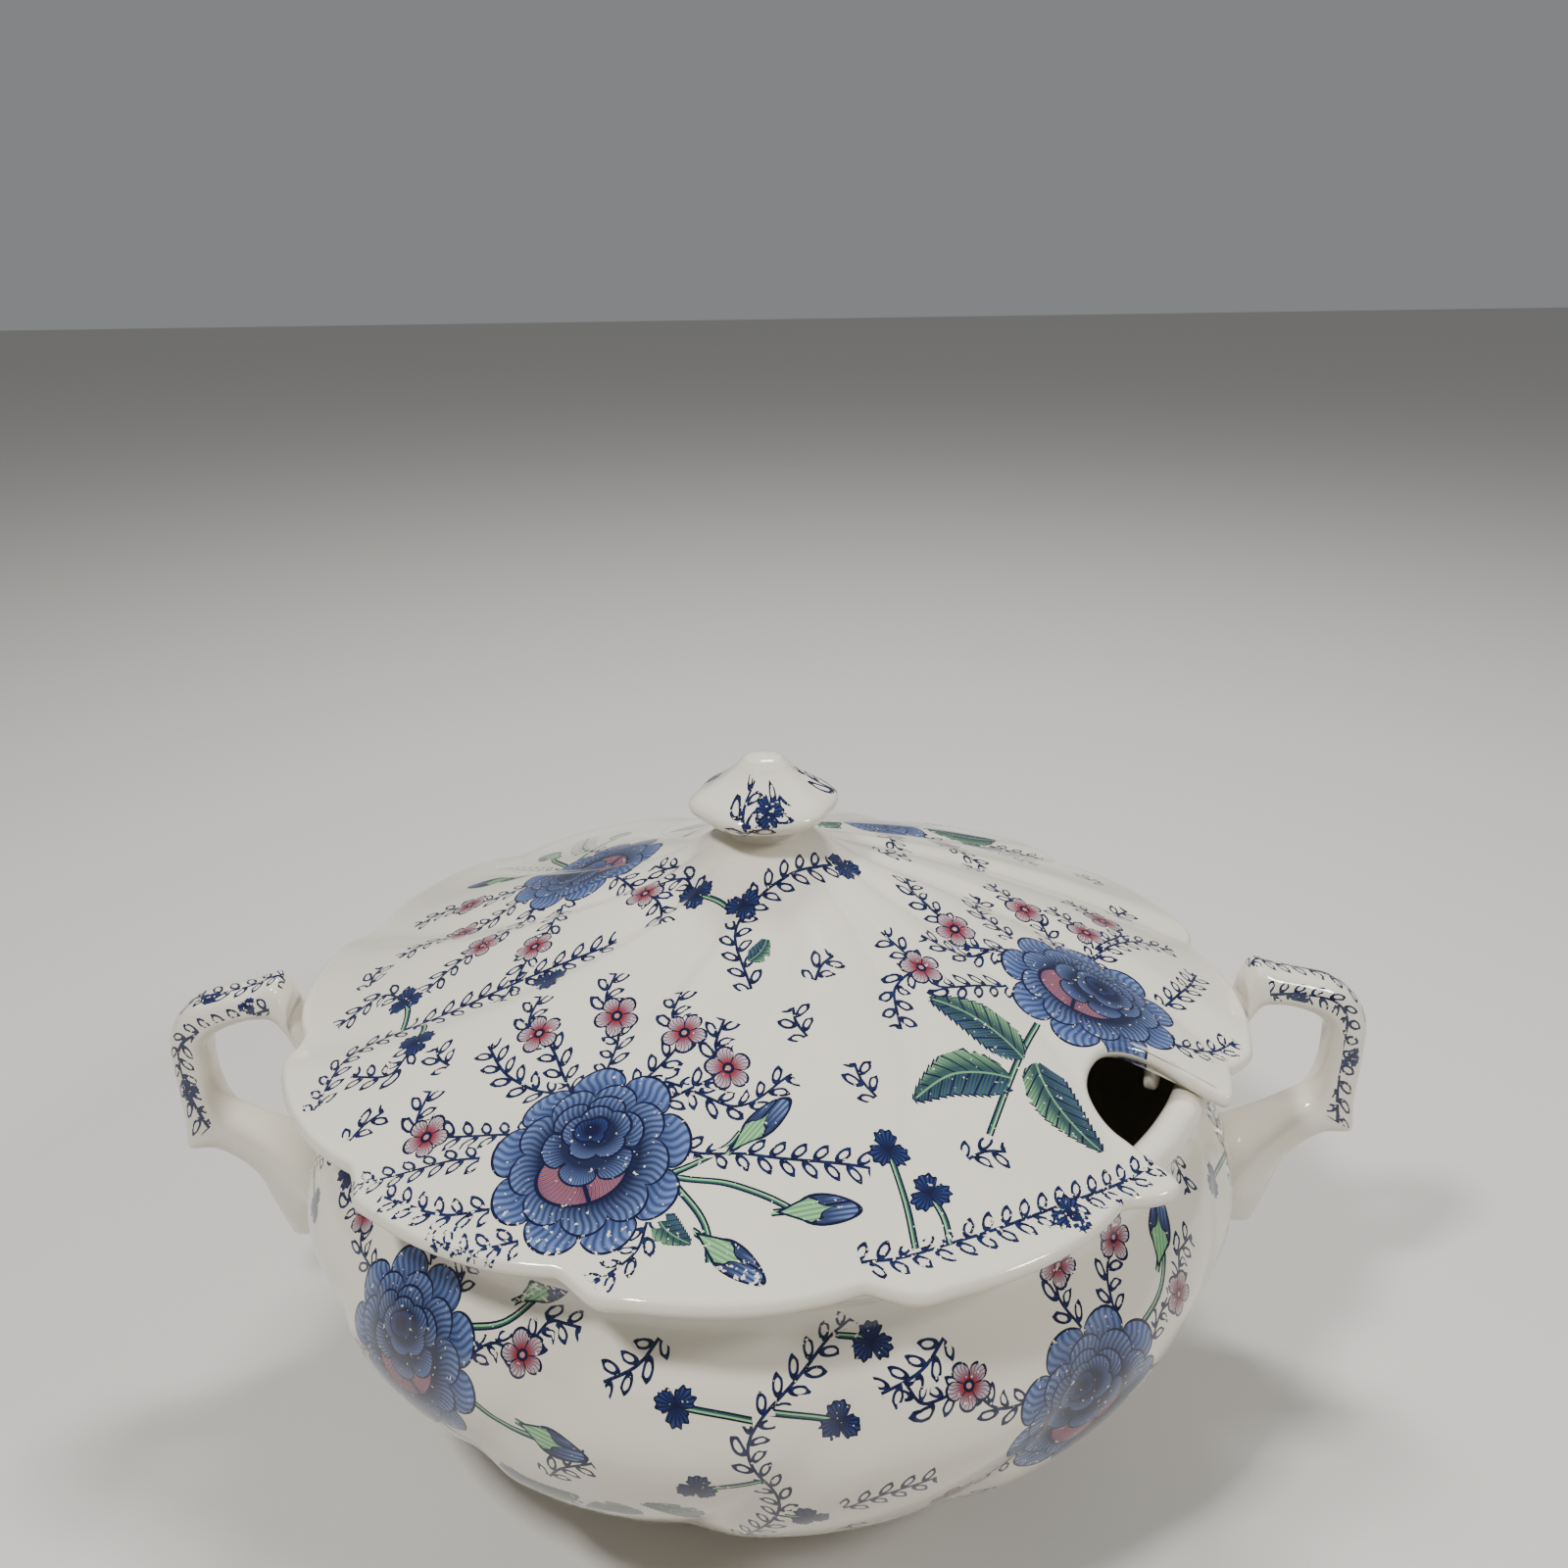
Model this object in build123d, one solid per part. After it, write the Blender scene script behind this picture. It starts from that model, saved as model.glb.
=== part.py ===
from build123d import *

import os
from math import cos, hypot, pi, radians, sin

# A lidded earthenware soup tureen: a fluted bowl on a foot ring, two ear handles, and a scalloped,
# swirled lid with a ladle notch, a locating flange and a knob.
# Millimetres. +Z is up, +X runs through the right handle and -Y is the front.
# The origin is the middle of the foot ring's standing face.

# ---- bowl ----
BELLY_RADIUS = 123.0
BELLY_HEIGHT = 66.0
NECK_RADIUS = 110.5
NECK_HEIGHT = 94.0
RIM_HEIGHT = 108.3
RIM_ROLL_RADIUS = 4.2
RIM_RADIUS = 111.0
BOWL_WALL = 5.0
BOWL_FLUTE_DEPTH = 1.8
BOWL_SWIRL = 34.0

# ---- foot ring ----
FOOT_HEIGHT = 8.0
FOOT_TOP_RADIUS = 62.0
FOOT_FLARE = 4.0
FOOT_WIDTH = 7.0
FOOT_ROUND = 1.5

# ---- lid ----
LID_RADIUS = 124.3
LID_RISE = 46.0
LID_WALL = 4.2
LID_EDGE = 4.4
LID_SCALLOP = 4.2
LID_FLUTE_DEPTH = 1.3
LID_SWIRL = 38.0
LID_SEAT_GAP = 0.3
LID_LIP_TOP_INSET = 1.2
LID_LIP_LOW_INSET = 1.6
LID_LIP_BOW_INSET = 0.3
FLUTES = 12
FLUTE_START = -20.8

# ---- ladle notch ----
NOTCH_ANGLE = -35.2
NOTCH_WIDTH = 29.0
NOTCH_MOUTH = 33.0
NOTCH_REACH = 18.2
NOTCH_TIP_ROUND = 4.0

# ---- locating flange under the lid ----
FLANGE_WIDTH = 4.0
FLANGE_DEPTH = 4.0
FLANGE_PLAY = 3.0

# ---- knob ----
KNOB_RADIUS = 19.2
KNOB_HEIGHT = 22.2
KNOB_STEM_RADIUS = 8.4
KNOB_CREST_RADIUS = 4.4
KNOB_FLUTE_DEPTH = 1.0
KNOB_SIDES = 6
KNOB_SWIRL = 24.0

# ---- handles ----
HANDLE_REACH = 35.9
HANDLE_STRAP = 10.4
HANDLE_WIDTH = 15.0
HANDLE_CREST = 8.8
HANDLE_LID_GAP = 1.5
HANDLE_EDGE_ROUND = 1.2
ROOT_FLARE = 38.0
ROOT_HEIGHT = 38.0
SPUR_DROP = 1.4
ARM_DROP = 6.0
ROOT_DEPTH = 8.8
HANDLE_BURY = 1.5

# Values that follow from the sizes above.
INSIDE_RIM_RADIUS = RIM_RADIUS - RIM_ROLL_RADIUS
HANDLE_OUT = max(BELLY_RADIUS, LID_RADIUS) + HANDLE_REACH
BIG = 4 * LID_RADIUS


def fluted_face(radius, depth, turn, height, sides=FLUTES, start=FLUTE_START):
    """A level face whose edge dips inwards at each flute; turn swings it about the axis."""
    points_per_side = 10
    count = sides * points_per_side
    points = []
    for i in range(count):
        angle = 2 * pi * i / count
        dip = ((1 + cos(sides * angle)) / 2) ** 2
        reach = radius - depth * dip
        place = angle + radians(start + turn)
        points.append(Vector(reach * cos(place), reach * sin(place), height))
    return Face(Wire([Edge.make_spline(points, periodic=True)]))


def fluted_solid(rings, swirl, sides=FLUTES, start=FLUTE_START):
    """A loft through (radius, height, depth) rings, swung by swirl from the first to the last."""
    span = rings[-1][1] - rings[0][1]
    faces = []
    for radius, height, depth in rings:
        turn = swirl * (height - rings[0][1]) / span
        faces.append(fluted_face(radius, depth, turn, height, sides, start))
    return loft(faces)


def turned(build_line_points, curve_points):
    """A solid of revolution: a spline through curve_points, closed by straight lines."""
    with BuildPart() as solid:
        with BuildSketch(Plane.XZ):
            with BuildLine():
                Spline(*curve_points)
                Polyline(curve_points[-1], *build_line_points, curve_points[0])
            make_face()
        revolve(axis=Axis.Z)
    return solid.part


def inset(points, wall):
    """The points of a profile moved square to it by wall, towards its right-hand side."""
    moved = []
    last = len(points) - 1
    for i, (x, z) in enumerate(points):
        before = points[max(i - 1, 0)]
        after = points[min(i + 1, last)]
        dx = after[0] - before[0]
        dz = after[1] - before[1]
        length = hypot(dx, dz)
        moved.append((x + wall * dz / length, z - wall * dx / length))
    return moved


def ring_cut(inner, outer, low, high):
    """A plain ring from low to high."""
    tube = Cylinder(outer, high - low, align=(Align.CENTER, Align.CENTER, Align.MIN))
    hole = Cylinder(inner, high - low, align=(Align.CENTER, Align.CENTER, Align.MIN))
    return Pos(0, 0, low) * (tube - hole)


# ---- bowl and foot ring ----

def bowl_rings():
    """(radius, height, flute depth) from the foot to the neck."""
    under = BELLY_HEIGHT - FOOT_HEIGHT
    spread = BELLY_RADIUS - FOOT_TOP_RADIUS
    above = NECK_HEIGHT - BELLY_HEIGHT
    pinch = BELLY_RADIUS - NECK_RADIUS
    return [
        (FOOT_TOP_RADIUS, FOOT_HEIGHT, 0.0),
        (FOOT_TOP_RADIUS + 0.20 * spread, FOOT_HEIGHT + 0.07 * under, 0.2 * BOWL_FLUTE_DEPTH),
        (FOOT_TOP_RADIUS + 0.51 * spread, FOOT_HEIGHT + 0.22 * under, 0.5 * BOWL_FLUTE_DEPTH),
        (FOOT_TOP_RADIUS + 0.79 * spread, FOOT_HEIGHT + 0.48 * under, 0.8 * BOWL_FLUTE_DEPTH),
        (FOOT_TOP_RADIUS + 0.95 * spread, FOOT_HEIGHT + 0.77 * under, BOWL_FLUTE_DEPTH),
        (BELLY_RADIUS, BELLY_HEIGHT, BOWL_FLUTE_DEPTH),
        (BELLY_RADIUS - 0.32 * pinch, BELLY_HEIGHT + 0.52 * above, 0.7 * BOWL_FLUTE_DEPTH),
        (NECK_RADIUS, NECK_HEIGHT, 0.2 * BOWL_FLUTE_DEPTH),
    ]


def rim_solid():
    """The neck's short collar and the rounded lip that the lid rests on, as a full solid."""
    roll_centre = RIM_HEIGHT - RIM_ROLL_RADIUS
    neck = NECK_RADIUS - 0.1 * BOWL_FLUTE_DEPTH
    under_lip = radians(-40)
    lip = (RIM_RADIUS + RIM_ROLL_RADIUS * cos(under_lip),
           roll_centre + RIM_ROLL_RADIUS * sin(under_lip))
    with BuildPart() as rim:
        with BuildSketch(Plane.XZ):
            with BuildLine():
                Line((0, NECK_HEIGHT), (neck, NECK_HEIGHT))
                Spline((neck, NECK_HEIGHT), lip, tangents=[(0, 1), (1, 0.8)])
                ThreePointArc(lip, (RIM_RADIUS, RIM_HEIGHT), (INSIDE_RIM_RADIUS, roll_centre))
                Polyline((INSIDE_RIM_RADIUS, roll_centre), (0, roll_centre), (0, NECK_HEIGHT))
            make_face()
        revolve(axis=Axis.Z)
    return rim.part


def bowl_outside():
    """The bowl as a full solid, without its hollow, rim included."""
    return fluted_solid(bowl_rings(), BOWL_SWIRL) + rim_solid()


def bowl_hollow():
    """The space inside the bowl, smooth, one wall in from the outside."""
    line = [(radius, height) for radius, height, _ in bowl_rings()]
    inner = inset(line[2:], -BOWL_WALL)
    floor = FOOT_HEIGHT + BOWL_WALL
    top = RIM_HEIGHT - RIM_ROLL_RADIUS
    curve = [(FOOT_TOP_RADIUS, floor)] + inner[:-1] + [(NECK_RADIUS - BOWL_WALL, NECK_HEIGHT)]
    curve.append((INSIDE_RIM_RADIUS, top))
    return turned([(0, top), (0, floor)], curve)


def make_foot_ring():
    """The ring that the bowl stands on, slightly splayed, with a rounded standing edge."""
    top_in = FOOT_TOP_RADIUS - FOOT_WIDTH
    base_out = FOOT_TOP_RADIUS + FOOT_FLARE
    base_in = base_out - FOOT_WIDTH
    with BuildPart() as ring:
        with BuildSketch(Plane.XZ):
            with BuildLine():
                Polyline((top_in, FOOT_HEIGHT), (FOOT_TOP_RADIUS, FOOT_HEIGHT), (base_out, 0),
                         (base_in, 0), close=True)
            face = make_face()
            low = face.vertices().group_by(Axis.Y)[0]
            fillet(low, FOOT_ROUND)
        revolve(axis=Axis.Z)
    return ring.part


# ---- lid ----

def lid_rings():
    """(radius, height, flute depth) of the lid's top face, from its edge to the knob's seat."""
    edge_top = lid_edge_height() + LID_EDGE
    return [
        (LID_RADIUS - LID_LIP_TOP_INSET, edge_top, LID_SCALLOP),
        (0.905 * LID_RADIUS, edge_top + 0.10 * LID_RISE, 0.5 * LID_SCALLOP),
        (0.765 * LID_RADIUS, edge_top + 0.25 * LID_RISE, LID_FLUTE_DEPTH),
        (0.565 * LID_RADIUS, edge_top + 0.455 * LID_RISE, LID_FLUTE_DEPTH),
        (0.363 * LID_RADIUS, edge_top + 0.665 * LID_RISE, 0.8 * LID_FLUTE_DEPTH),
        (0.194 * LID_RADIUS, edge_top + 0.85 * LID_RISE, 0.4 * LID_FLUTE_DEPTH),
        (0.097 * LID_RADIUS, edge_top + LID_RISE, 0.0),
    ]


def lid_slope():
    """The fall of the lid's skin over the rim, in mm per mm outwards."""
    return 0.10 * LID_RISE / (0.095 * LID_RADIUS - LID_LIP_TOP_INSET)


def skin_over_rim(radius, clear):
    """The height, at radius, of the line that passes the rim's roll at a distance of clear."""
    upright = (RIM_ROLL_RADIUS + clear) * hypot(1, lid_slope())
    return RIM_HEIGHT - RIM_ROLL_RADIUS + upright - lid_slope() * (radius - RIM_RADIUS)


def lid_edge_height():
    """The height of the lid's lower edge when its underside comes down on the rim."""
    return skin_over_rim(LID_RADIUS - LID_LIP_TOP_INSET, LID_SEAT_GAP + LID_WALL) - LID_EDGE


def lid_edge_solid():
    """The scalloped edge below the top face, with its outside bowed like a rounded lip."""
    low = lid_edge_height()
    rings = [
        (LID_RADIUS - LID_LIP_LOW_INSET, low, LID_SCALLOP),
        (LID_RADIUS - LID_LIP_BOW_INSET, low + 0.22 * LID_EDGE, LID_SCALLOP),
        (LID_RADIUS, low + 0.55 * LID_EDGE, LID_SCALLOP),
        (LID_RADIUS - LID_LIP_TOP_INSET, low + LID_EDGE, LID_SCALLOP),
    ]
    return fluted_solid(rings, 0.0)


def lid_hollow():
    """The space under the lid, smooth, one wall in from the top face.

    The skin is followed inside the rim only; over the rim the seat line takes its place.
    """
    line = [(radius, height) for radius, height, _ in lid_rings()]
    skin = inset(line[1:-1], -LID_WALL)
    under = [point for point in skin if point[0] < RIM_RADIUS - 2 * RIM_ROLL_RADIUS]
    low = lid_edge_height()
    lip = LID_RADIUS - LID_SCALLOP - LID_LIP_LOW_INSET - 0.2
    seat = [(r, skin_over_rim(r, LID_SEAT_GAP)) for r in (RIM_RADIUS + 0.8 * RIM_ROLL_RADIUS, RIM_RADIUS)]
    crown = (0, line[-1][1] - LID_WALL)
    curve = [(lip, low)] + seat + under + [crown]
    return turned([(0, low - 1), (lip, low - 1)], curve)


def notch_cutter():
    """An upright U-shaped plug, round at its inner end and flaring to the mouth."""
    inner_end = RIM_RADIUS - NOTCH_REACH
    half = NOTCH_WIDTH / 2
    mouth = NOTCH_MOUTH / 2
    round_centre = inner_end + half
    edge = LID_RADIUS - LID_SCALLOP / 2
    with BuildPart() as plug:
        with BuildSketch():
            with BuildLine():
                ThreePointArc((round_centre, -half), (inner_end, 0), (round_centre, half))
                Line((round_centre, half), (edge - NOTCH_TIP_ROUND, mouth))
                Spline(
                    (edge - NOTCH_TIP_ROUND, mouth),
                    (edge, mouth + 0.35 * NOTCH_TIP_ROUND),
                    (edge + NOTCH_TIP_ROUND, mouth + 2 * NOTCH_TIP_ROUND),
                )
                Polyline(
                    (edge + NOTCH_TIP_ROUND, mouth + 2 * NOTCH_TIP_ROUND),
                    (edge + 4 * NOTCH_TIP_ROUND, mouth + 2 * NOTCH_TIP_ROUND),
                    (edge + 4 * NOTCH_TIP_ROUND, -mouth - 2 * NOTCH_TIP_ROUND),
                    (edge + NOTCH_TIP_ROUND, -mouth - 2 * NOTCH_TIP_ROUND),
                )
                Spline(
                    (edge + NOTCH_TIP_ROUND, -mouth - 2 * NOTCH_TIP_ROUND),
                    (edge, -mouth - 0.35 * NOTCH_TIP_ROUND),
                    (edge - NOTCH_TIP_ROUND, -mouth),
                )
                Line((edge - NOTCH_TIP_ROUND, -mouth), (round_centre, -half))
            make_face()
        extrude(amount=RIM_HEIGHT + LID_RISE + BIG)
    return Rot(0, 0, NOTCH_ANGLE) * plug.part


def make_lid(hollow, notch):
    """The lid's shell: top face and edge, less the hollow and the ladle notch."""
    return fluted_solid(lid_rings(), LID_SWIRL) + lid_edge_solid() - hollow - notch


def make_flange(hollow, notch):
    """The ring under the lid that drops inside the rim and keeps the lid from sliding."""
    outer = INSIDE_RIM_RADIUS - FLANGE_PLAY
    low = RIM_HEIGHT - FLANGE_DEPTH
    ring = ring_cut(outer - FLANGE_WIDTH, outer, low, RIM_HEIGHT + LID_RISE)
    start = min(low, lid_edge_height()) - 1
    reach = Pos(0, 0, start) * Cylinder(
        outer + 1, lid_edge_height() - start, align=(Align.CENTER, Align.CENTER, Align.MIN)
    )
    return ring & (hollow + reach) - notch


def knob_base():
    """The height of the flat seat on top of the lid."""
    return lid_rings()[-1][1]


def make_knob():
    """The grip: a waisted stem under a soft six-sided cap with hollowed shoulders."""
    base = knob_base()
    shoulder = KNOB_RADIUS - KNOB_STEM_RADIUS
    slope = KNOB_RADIUS - KNOB_CREST_RADIUS
    cap = KNOB_FLUTE_DEPTH
    rings = [
        (KNOB_STEM_RADIUS + 1.0, base, 0.0),
        (KNOB_STEM_RADIUS, base + 0.07 * KNOB_HEIGHT, 0.0),
        (KNOB_STEM_RADIUS + 0.10 * shoulder, base + 0.14 * KNOB_HEIGHT, 0.1 * cap),
        (KNOB_STEM_RADIUS + 0.52 * shoulder, base + 0.23 * KNOB_HEIGHT, 0.6 * cap),
        (KNOB_STEM_RADIUS + 0.90 * shoulder, base + 0.34 * KNOB_HEIGHT, cap),
        (KNOB_RADIUS, base + 0.44 * KNOB_HEIGHT, cap),
        (KNOB_CREST_RADIUS + 0.76 * slope, base + 0.58 * KNOB_HEIGHT, cap),
        (KNOB_CREST_RADIUS + 0.40 * slope, base + 0.73 * KNOB_HEIGHT, 0.8 * cap),
        (KNOB_CREST_RADIUS + 0.14 * slope, base + 0.88 * KNOB_HEIGHT, 0.4 * cap),
        (KNOB_CREST_RADIUS, base + 0.96 * KNOB_HEIGHT, 0.1 * cap),
        (0.55 * KNOB_CREST_RADIUS, base + KNOB_HEIGHT, 0.0),
    ]
    return fluted_solid(rings, KNOB_SWIRL, KNOB_SIDES, 0.0)


# ---- handles ----

def handle_outline():
    """(x, z, corner radius) round the right handle's side view, roots buried in the bowl."""
    strap = HANDLE_STRAP
    out = HANDLE_OUT
    crest_x = LID_RADIUS + HANDLE_LID_GAP
    crest_z = RIM_HEIGHT + HANDLE_CREST
    below_lid = lid_edge_height() - HANDLE_LID_GAP
    arm_z = crest_z - ARM_DROP
    spur_z = BELLY_HEIGHT - SPUR_DROP
    buried = NECK_RADIUS + HANDLE_BURY
    return [
        (buried, below_lid, 0),
        (crest_x, below_lid + 0.4, 1.0),
        (crest_x + 1.6, crest_z, 2.4),
        (out - 15.2, arm_z, 8.0),
        (out - 1.6, arm_z - 7.5, 9.0),
        (out, spur_z, 2.6),
        (out - 14.0, spur_z + 0.8, 6.0),
        (out - 19.8, spur_z - 12.0, 8.0),
        (out - 25.4, spur_z - 31.2, 2.4),
        (out - 33.0, spur_z - 22.0, 5.0),
        (buried, spur_z - 18.0, 0),
        (buried, spur_z - 2.0, 0),
        (out - 36.0, spur_z - 2.0, 3.0),
        (out - 13.4, spur_z + 1.2 + strap, 4.0),
        (out - strap - 0.2, arm_z - 2.4 - strap, 4.5),
        (crest_x + 3.8, below_lid + 2.5, 3.0),
        (crest_x, below_lid - 8.6, 4.0),
        (buried, below_lid - 18.1, 0),
    ]


def handle_strap():
    """The handle's bent strap, cut from its side view and softened along both long edges."""
    corners = handle_outline()
    points = [(x, z) for x, z, _ in corners]
    radii = [radius for _, _, radius in corners]
    with BuildPart() as strap:
        with BuildSketch(Plane.XZ):
            with BuildLine():
                FilletPolyline(*points, radius=radii, close=True)
            make_face()
        extrude(amount=HANDLE_WIDTH / 2, both=True)
        sides = strap.faces().filter_by(Axis.Y)
        fillet(sides.edges(), HANDLE_EDGE_ROUND)
    return strap.part


def root_flare(stations):
    """A flared root: a loft of upright ellipses (x, z, width, height) from the strap to the bowl."""
    faces = []
    for x, z, width, height in stations:
        with BuildSketch(Plane(origin=(x, 0, z), x_dir=(0, 1, 0), z_dir=(1, 0, 0))) as oval:
            Ellipse(width / 2, height / 2)
        faces.append(oval.sketch.face())
    return loft(faces)


def handle_blank():
    """The right handle with both flared roots, before it is fitted to the bowl."""
    spur_z = BELLY_HEIGHT - SPUR_DROP
    below_lid = lid_edge_height() - HANDLE_LID_GAP
    lower = root_flare([
        (HANDLE_OUT - 21.0, spur_z - 8.0, 0.9 * HANDLE_WIDTH, 12.0),
        (HANDLE_OUT - 28.0, spur_z - 12.0, 0.62 * ROOT_FLARE, 26.0),
        (BELLY_RADIUS - ROOT_DEPTH, spur_z - 12.0, ROOT_FLARE + ROOT_DEPTH, ROOT_HEIGHT),
    ])
    upper = root_flare([
        (LID_RADIUS + 2.6, below_lid - 3.6, 0.8 * HANDLE_WIDTH, 6.0),
        (NECK_RADIUS + 4.0, below_lid - 8.1, 1.3 * HANDLE_WIDTH, 12.0),
        (NECK_RADIUS - 4.0, below_lid - 10.1, 1.6 * HANDLE_WIDTH, 14.0),
    ])
    return handle_strap() + lower + upper


def fitted_handle(blank, bowl_solid):
    """A handle that ends on the bowl's outer face; what lay inside the bowl drops out."""
    cut = blank - bowl_solid
    return sorted(cut.solids(), key=lambda solid: solid.volume)[-1]


def main():
    os.makedirs("parts", exist_ok=True)
    full_bowl = bowl_outside()
    hollow = lid_hollow()
    notch = notch_cutter()
    blank = handle_blank()
    parts = {
        "bowl": full_bowl - bowl_hollow(),
        "foot_ring": make_foot_ring(),
        "handle_right": fitted_handle(blank, full_bowl),
        "handle_left": fitted_handle(Rot(0, 0, 180) * blank, full_bowl),
        "lid": make_lid(hollow, notch),
        "lid_flange": make_flange(hollow, notch),
        "knob": make_knob(),
    }
    for name, shape in parts.items():
        export_step(shape, f"parts/{name}.step")
        box = shape.bounding_box()
        print(f"{name:13s} {shape.volume:10.0f} mm3  {len(shape.solids())} solid(s)  "
              f"z {box.min.Z:7.2f} to {box.max.Z:7.2f}  x {box.min.X:7.2f} to {box.max.X:7.2f}")


main()
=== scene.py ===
# %% [markdown]
# # A transfer-printed soup tureen
# The tureen is earthenware in a cream glaze: a fluted bowl on a foot ring, two cast ear handles, and a
# scalloped lid with a ladle notch, a flange underneath and a knob. The CAD frame is loaded first, and
# every piece here stands exactly where the frame has it. All lengths below are in millimetres.

# %% Load the frame
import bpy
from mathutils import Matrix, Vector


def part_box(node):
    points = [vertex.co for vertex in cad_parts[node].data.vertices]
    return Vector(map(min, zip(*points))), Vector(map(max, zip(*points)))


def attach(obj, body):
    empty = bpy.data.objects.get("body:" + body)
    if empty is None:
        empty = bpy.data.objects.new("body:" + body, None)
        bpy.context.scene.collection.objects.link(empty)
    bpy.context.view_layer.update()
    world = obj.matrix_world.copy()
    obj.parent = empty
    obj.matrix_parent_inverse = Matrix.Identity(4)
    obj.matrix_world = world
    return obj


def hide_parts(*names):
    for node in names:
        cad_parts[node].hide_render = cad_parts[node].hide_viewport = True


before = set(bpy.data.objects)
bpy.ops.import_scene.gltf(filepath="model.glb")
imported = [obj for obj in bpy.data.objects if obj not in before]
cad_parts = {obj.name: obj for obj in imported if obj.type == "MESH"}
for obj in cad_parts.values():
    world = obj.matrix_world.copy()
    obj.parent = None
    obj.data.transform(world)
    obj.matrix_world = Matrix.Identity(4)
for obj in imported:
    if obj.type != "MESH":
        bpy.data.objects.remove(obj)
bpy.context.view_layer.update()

import ast
import math

import bpy
import numpy as np
from mathutils import Matrix, Vector
from mathutils.kdtree import KDTree

print("nodes:", sorted(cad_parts))


def box_mm(node):
    """The lowest and highest corner of a CAD node, in millimetres."""
    low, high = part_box(node)
    return np.array(low) * 1000, np.array(high) * 1000


# %% [markdown]
# ## Rolling a sheet into a pot
# A thrower or a jigger makes a pot by turning a profile. Spinning a profile would give a plain turned
# shape, but here every ring is fluted and the lid's outline has a notch, so a flat grid is rolled
# instead: its first direction runs round the axis and its second along the wall's section, and a
# formula puts each point in its place. Merging the doubles then closes the seam and the poles.

# %% A grid rolled into a closed skin
def rolled(name, around, along, place):
    """A closed skin: place(s, t) turns two fractions, round and along, into x, y, z."""
    bpy.ops.object.select_all(action="DESELECT")
    bpy.ops.mesh.primitive_grid_add(x_subdivisions=around, y_subdivisions=along, size=2)
    piece = bpy.context.object
    piece.name = piece.data.name = name
    points = np.empty(len(piece.data.vertices) * 3, np.float32)
    piece.data.vertices.foreach_get("co", points)
    points = points.reshape(-1, 3)
    xyz = place((points[:, 0] + 1) / 2, (points[:, 1] + 1) / 2)
    piece.data.vertices.foreach_set("co", (np.stack(xyz, 1) / 1000).astype(np.float32).ravel())
    bpy.ops.object.mode_set(mode="EDIT")
    bpy.ops.mesh.select_all(action="SELECT")
    bpy.ops.mesh.remove_doubles(threshold=2e-6)
    bpy.ops.mesh.normals_make_consistent(inside=False)
    bpy.ops.object.mode_set(mode="OBJECT")
    bpy.ops.object.shade_smooth()
    print(name, len(piece.data.polygons), "faces")
    return piece


def through(stations, t):
    """Smooth values through stations of (position, value), by a monotone cubic."""
    where, value = np.array(stations, float).T
    step = np.diff(where)
    rise = np.diff(value) / step
    slope = np.concatenate([[rise[0]], (rise[:-1] + rise[1:]) / 2, [rise[-1]]])
    flat = rise[:-1] * rise[1:] <= 0
    slope[1:-1][flat] = 0
    i = np.clip(np.searchsorted(where, t) - 1, 0, len(step) - 1)
    f = np.clip((t - where[i]) / step[i], 0, 1)
    h00 = 2 * f**3 - 3 * f**2 + 1
    h10 = f**3 - 2 * f**2 + f
    h01 = 3 * f**2 - 2 * f**3
    h11 = f**3 - f**2
    return (h00 * value[i] + h10 * step[i] * slope[i]
            + h01 * value[i + 1] + h11 * step[i] * slope[i + 1])


# %% [markdown]
# ## Swirled flutes
# Bowl and lid have twelve flutes that swirl round the axis. Each flute is a soft crease: steep on one
# side and easy on the other, which is what makes the edge look like overlapping petals.

# %% One crease, repeated round the pot
FLUTES = 12
FLUTE_START = math.radians(-20.8)


def crease(angle, sharp=0.2):
    """1 in the crease and 0 on the lobe, for an angle in radians from the first crease."""
    u = np.mod(angle * FLUTES / (2 * math.pi), 1.0)
    steep = np.cos(np.clip(u / sharp, 0, 1) * math.pi / 2) ** 2
    easy = np.clip((u - sharp) / (1 - sharp), 0, 1) ** 3
    return np.maximum(steep, easy)


# %% [markdown]
# ## The bowl
# The section runs from the middle of the underside, over the belly and neck, round the rolled rim and
# down the inside. The flutes are deepest on the belly and die out at the foot and the neck; the inside
# is smooth, because it is what the jigger's tool shapes.

# %% Bowl section and skin
bowl_low, bowl_high = box_mm("bowl")
RIM_RADIUS = 111.0
RIM_ROLL = 4.2
BOWL_WALL = 5.0
BOWL_SWIRL = math.radians(34.0)
SWIRL_HEIGHT = 86.0
BELLY_FLUTE = 2.6
rim_top = bowl_high[2]
foot_top = bowl_low[2]
outside = [
    (62.0, foot_top), (74.2, foot_top + 4.1), (93.1, foot_top + 12.8), (110.2, foot_top + 27.8),
    (119.9, foot_top + 44.7), (123.0, foot_top + 58.0), (119.0, foot_top + 72.6),
    (110.5, foot_top + 86.0), (111.6, foot_top + 91.0),
]


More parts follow.
